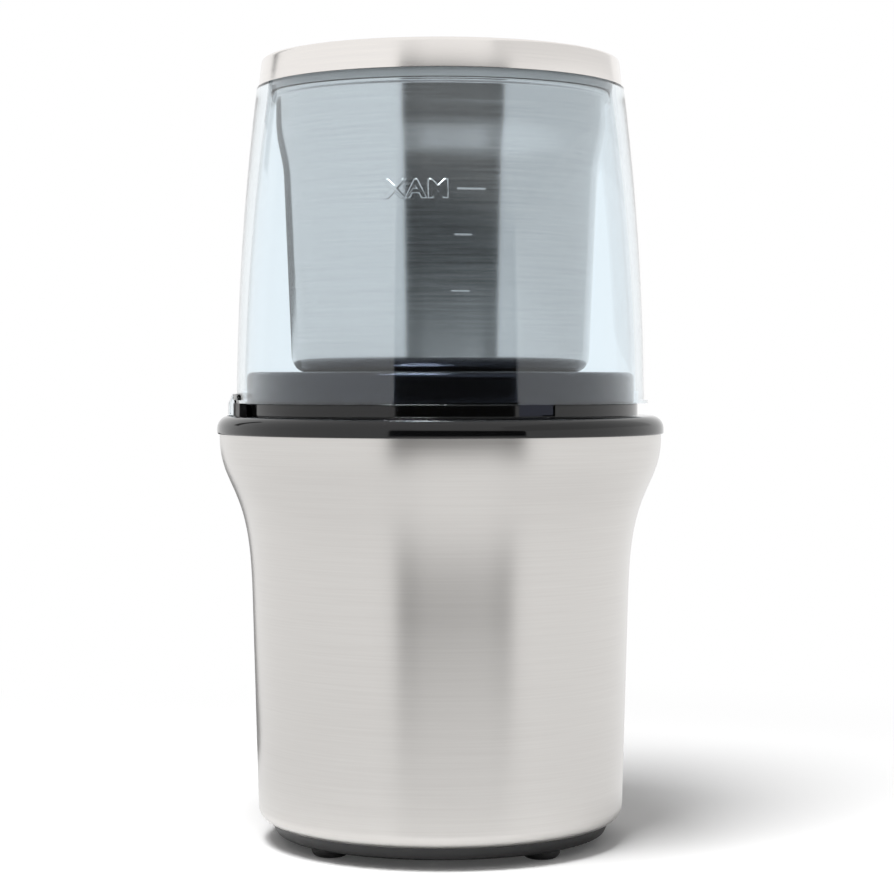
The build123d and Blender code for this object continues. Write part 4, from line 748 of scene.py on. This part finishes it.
class GRINDER_OT_lid(bpy.types.Operator):
    """Clear cover with its thumb tab, steel cap and the seal, whose thin skirt hangs round the lip of the cup"""
    bl_idname = "grinder.lid"
    bl_label = "Lid"

    def execute(self, context):
        outer = bowed(R_LID, R_LID_TOP, Z_LID_LIP, Z_CAP, LID_BOW)
        inner = bowed(R_LID_INSIDE, R_LID_INSIDE_TOP, Z_RELIEF, Z_LID_INSIDE, LID_BOW)
        cover = lathe("cover", np.concatenate((
            outer, [(R_LID_NECK, Z_CAP), (R_LID_NECK_TOP, Z_ROOF), (0, Z_ROOF), (0, Z_CEILING),
                    (R_LID_NECK_BORE, Z_CEILING), (R_LID_NECK_BORE, Z_CAP)],
            inner[::-1], [(R_RELIEF, Z_RELIEF), (R_RELIEF, Z_LID_RIM), (R_LID_LIP, Z_LID_RIM),
                          (R_LID_LIP, Z_LID_LIP)])))
        root = R_LID_LIP - TAB_REACH
        tab = arc_sweep("tab", np.array((
            (R_TAB, Z_TAB), (R_TAB_OUTSIDE, Z_TAB), (R_TAB_OUTSIDE, Z_LID_RIM), (R_TAB_OUTSIDE - TAB_REACH, Z_TAB_TOP),
            (R_TAB, Z_LID_LIP), (root, Z_LID_LIP), (root, Z_LID_RIM), (R_TAB, Z_LID_RIM))), PRESS_ANGLE, TAB_HALF)
        dress(rebuilt(cover, "UNION", [tab]), "lid", "clear_plastic", "lid_cover")
        dress(lathe("cap", outline([
            (0, Z_ROOF, 0), (R_LID_NECK_TOP + FIT, Z_ROOF, 0), (R_LID_NECK + FIT, Z_CAP, 0), (R_CAP, Z_CAP, 0.2),
            (R_CAP_TOP, Z_CAP_TOP, 1.0), (0, Z_CAP_TOP, 0)])), "lid", "cap_steel", "lid_cap")
        dress(lathe("seal", outline([
            (R_SEAL_BORE, Z_SEAL, 0.6), (R_SEAL_SKIRT, Z_SEAL, 0.2), (R_SEAL_SKIRT, Z_SEAL_SKIRT, 0),
            (R_SEAL_SKIRT_LOW, Z_SEAL_SKIRT, 0), (R_SEAL, Z_CAP, 0), (R_SEAL, Z_CEILING, 0),
            (R_SEAL_BORE, Z_CEILING, 0)])), "lid", "silicone", "lid_seal")
        return {"FINISHED"}


class GRINDER_OT_spring(bpy.types.Operator):
    """Return spring round the leg of the push rod, at rest; the real one shortens by the travel as the lid is pressed
    """
    bl_idname = "grinder.spring"
    bl_label = "Return Spring"

    def execute(self, context):
        low, high = [np.array(corner, float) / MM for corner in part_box("return_spring")]
        centre, radius = (low + high)[:2] / 2, (high - low)[0] / 2 - SPRING_WIRE
        piece = coil("press_spring", centre, radius, low[2], high[2])
        dress(piece, "base", "spring_steel", "return_spring")
        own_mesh(piece)
        return {"FINISHED"}


class GRINDER_OT_inside(bpy.types.Operator):
    """Finishes of every solid that keeps its own shape"""
    bl_idname = "grinder.inside"
    bl_label = "Inner Parts"

    def execute(self, context):
        slots = {part["node"]: part["material_slot"] for part in frame["record"]["subparts"]}
        for node, solid in frame["nodes"].items():
            solid.data.materials.clear()
            solid.data.materials.append(finish(slots[node]))
        return {"FINISHED"}


class GRINDER_OT_stage(bpy.types.Operator):
    """Pale floor, dark felts that only gloss shows, white surroundings, one soft lamp and the camera"""
    bl_idname = "grinder.stage"
    bl_label = "Studio"

    def execute(self, context):
        far = FLOOR_SIZE
        floor = sheet("floor", ((-far, -far, 0), (far, -far, 0), (far, far, 0), (-far, far, 0)))
        floor.data.materials.append(paper("Matt_paper_floor", context.scene.grinder_colours.floor))
        self.hang_felts(context.scene.grinder_sizes)
        self.light_world(context.scene)
        self.hang_lamp()
        self.set_camera(context.scene)
        context.scene.view_settings.view_transform = "Standard"
        return {"FINISHED"}

    def hang_felts(self, sizes):
        """The flag behind the camera, its card on the floor and the other felts."""
        left, right = sizes.flag_left, sizes.flag_right
        flag = sheet("dark_flag", ((left, FLAG_Y, 0.0), (right, FLAG_Y, 0.0),
                                   (right, FLAG_Y, FLAG_TOP), (left, FLAG_Y, FLAG_TOP)))
        near = CARD_Y / FLAG_Y
        card = sheet("floor_card", ((left, FLAG_Y, CARD_LIFT), (right, FLAG_Y, CARD_LIFT),
                                    (right * near, CARD_Y, CARD_LIFT), (left * near, CARD_Y, CARD_LIFT)))
        ends = [float(np.degrees(np.arctan2(end, -FLAG_Y))) for end in (left, right)]
        felts = [(flag, "Z", FLAG_MIDDLE, FLAG_COVER, False), (card, "Y", CARD_MIDDLE, CARD_COVER, False)]
        felts += [(sheet(name, corners), *rest) for name, corners, *rest in FELTS]
        for piece, axis, middle, cover, through in felts:
            piece.data.materials.append(felt(piece.name, ends, axis, middle, cover, through))
            piece.visible_camera = False
            piece.visible_diffuse = False
            piece.visible_shadow = False

    def light_world(self, scene):
        """World that is white to rays that are looked at and dim as a light."""
        world = bpy.data.worlds.new("Studio")
        scene.world = world
        world.use_nodes = True
        tree = world.node_tree
        tree.nodes.clear()
        level = add(tree, "ShaderNodeMapRange", {"Value": looked_at(tree)[1]}, {"To Min": WORLD_LIGHT, "To Max": 1.0})
        back = add(tree, "ShaderNodeBackground", {"Strength": level.outputs[0]}, {"Color": (1, 1, 1, 1)})
        add(tree, "ShaderNodeOutputWorld", {"Surface": back.outputs[0]})

    def hang_lamp(self):
        """Soft box above the front left, aimed at the middle of the grinder and left out of reflections."""
        data = bpy.data.lights.new("key_left", "AREA")
        data.shape = "RECTANGLE"
        data.size, data.size_y = KEY_SIZE
        data.energy = KEY_POWER
        lamp = placed("key_left", data)
        lamp.location = KEY_PLACE
        aim = np.array(KEY_AIM) - np.array(KEY_PLACE)
        lamp.rotation_euler = (np.arctan2(np.hypot(aim[0], aim[1]), -aim[2]), 0, np.arctan2(-aim[0], aim[1]))
        lamp.visible_glossy = False

    def set_camera(self, scene):
        """Camera a little to the right of the front, slightly above the middle and tilted down."""
        camera = bpy.data.cameras.new("Camera")
        camera.lens = LENS
        camera.sensor_width = SENSOR
        camera.clip_start = CLIP
        view = placed("Camera", camera)
        a = np.radians(VIEW_ANGLE)
        view.location = (VIEW_DISTANCE * np.sin(a) + VIEW_SIDE * np.cos(a),
                         -VIEW_DISTANCE * np.cos(a) + VIEW_SIDE * np.sin(a), VIEW_HEIGHT)
        view.rotation_euler = (np.radians(90 - VIEW_TILT), 0, a)
        scene.camera = view


class GRINDER_PT_panel(bpy.types.Panel):
    """Lists the pieces of the grinder"""
    bl_idname = "GRINDER_PT_panel"
    bl_label = "Spice Grinder"
    bl_space_type = "VIEW_3D"
    bl_region_type = "UI"
    bl_category = "Grinder"

    def draw(self, context):
        for name in ("flag_left", "flag_right", "mark_height", "mark_relief"):
            self.layout.prop(context.scene.grinder_sizes, name)
        self.layout.prop(context.scene.grinder_colours, "floor")
        for operator in OPERATORS:
            self.layout.operator(operator.bl_idname)


# The operators, in the order in which main calls them
OPERATORS = (GRINDER_OT_inside, GRINDER_OT_shell, GRINDER_OT_feet, GRINDER_OT_housing, GRINDER_OT_cup,
             GRINDER_OT_collar, GRINDER_OT_lid, GRINDER_OT_spring, GRINDER_OT_stage)
CLASSES = (GrinderSizes, GrinderColours, *OPERATORS, GRINDER_PT_panel)


def register():
    for item in CLASSES:
        bpy.utils.register_class(item)
    bpy.types.Scene.grinder_sizes = bpy.props.PointerProperty(type=GrinderSizes)
    bpy.types.Scene.grinder_colours = bpy.props.PointerProperty(type=GrinderColours)


def unregister():
    del bpy.types.Scene.grinder_colours
    del bpy.types.Scene.grinder_sizes
    for item in reversed(CLASSES):
        bpy.utils.unregister_class(item)


def main():
    """Registers the add-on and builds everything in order."""
    register()
    for name in ("inside", "shell", "feet", "housing", "cup", "collar", "lid", "spring", "stage"):
        getattr(bpy.ops.grinder, name)()
    bpy.context.view_layer.update()


if __name__ == "__main__":
    main()
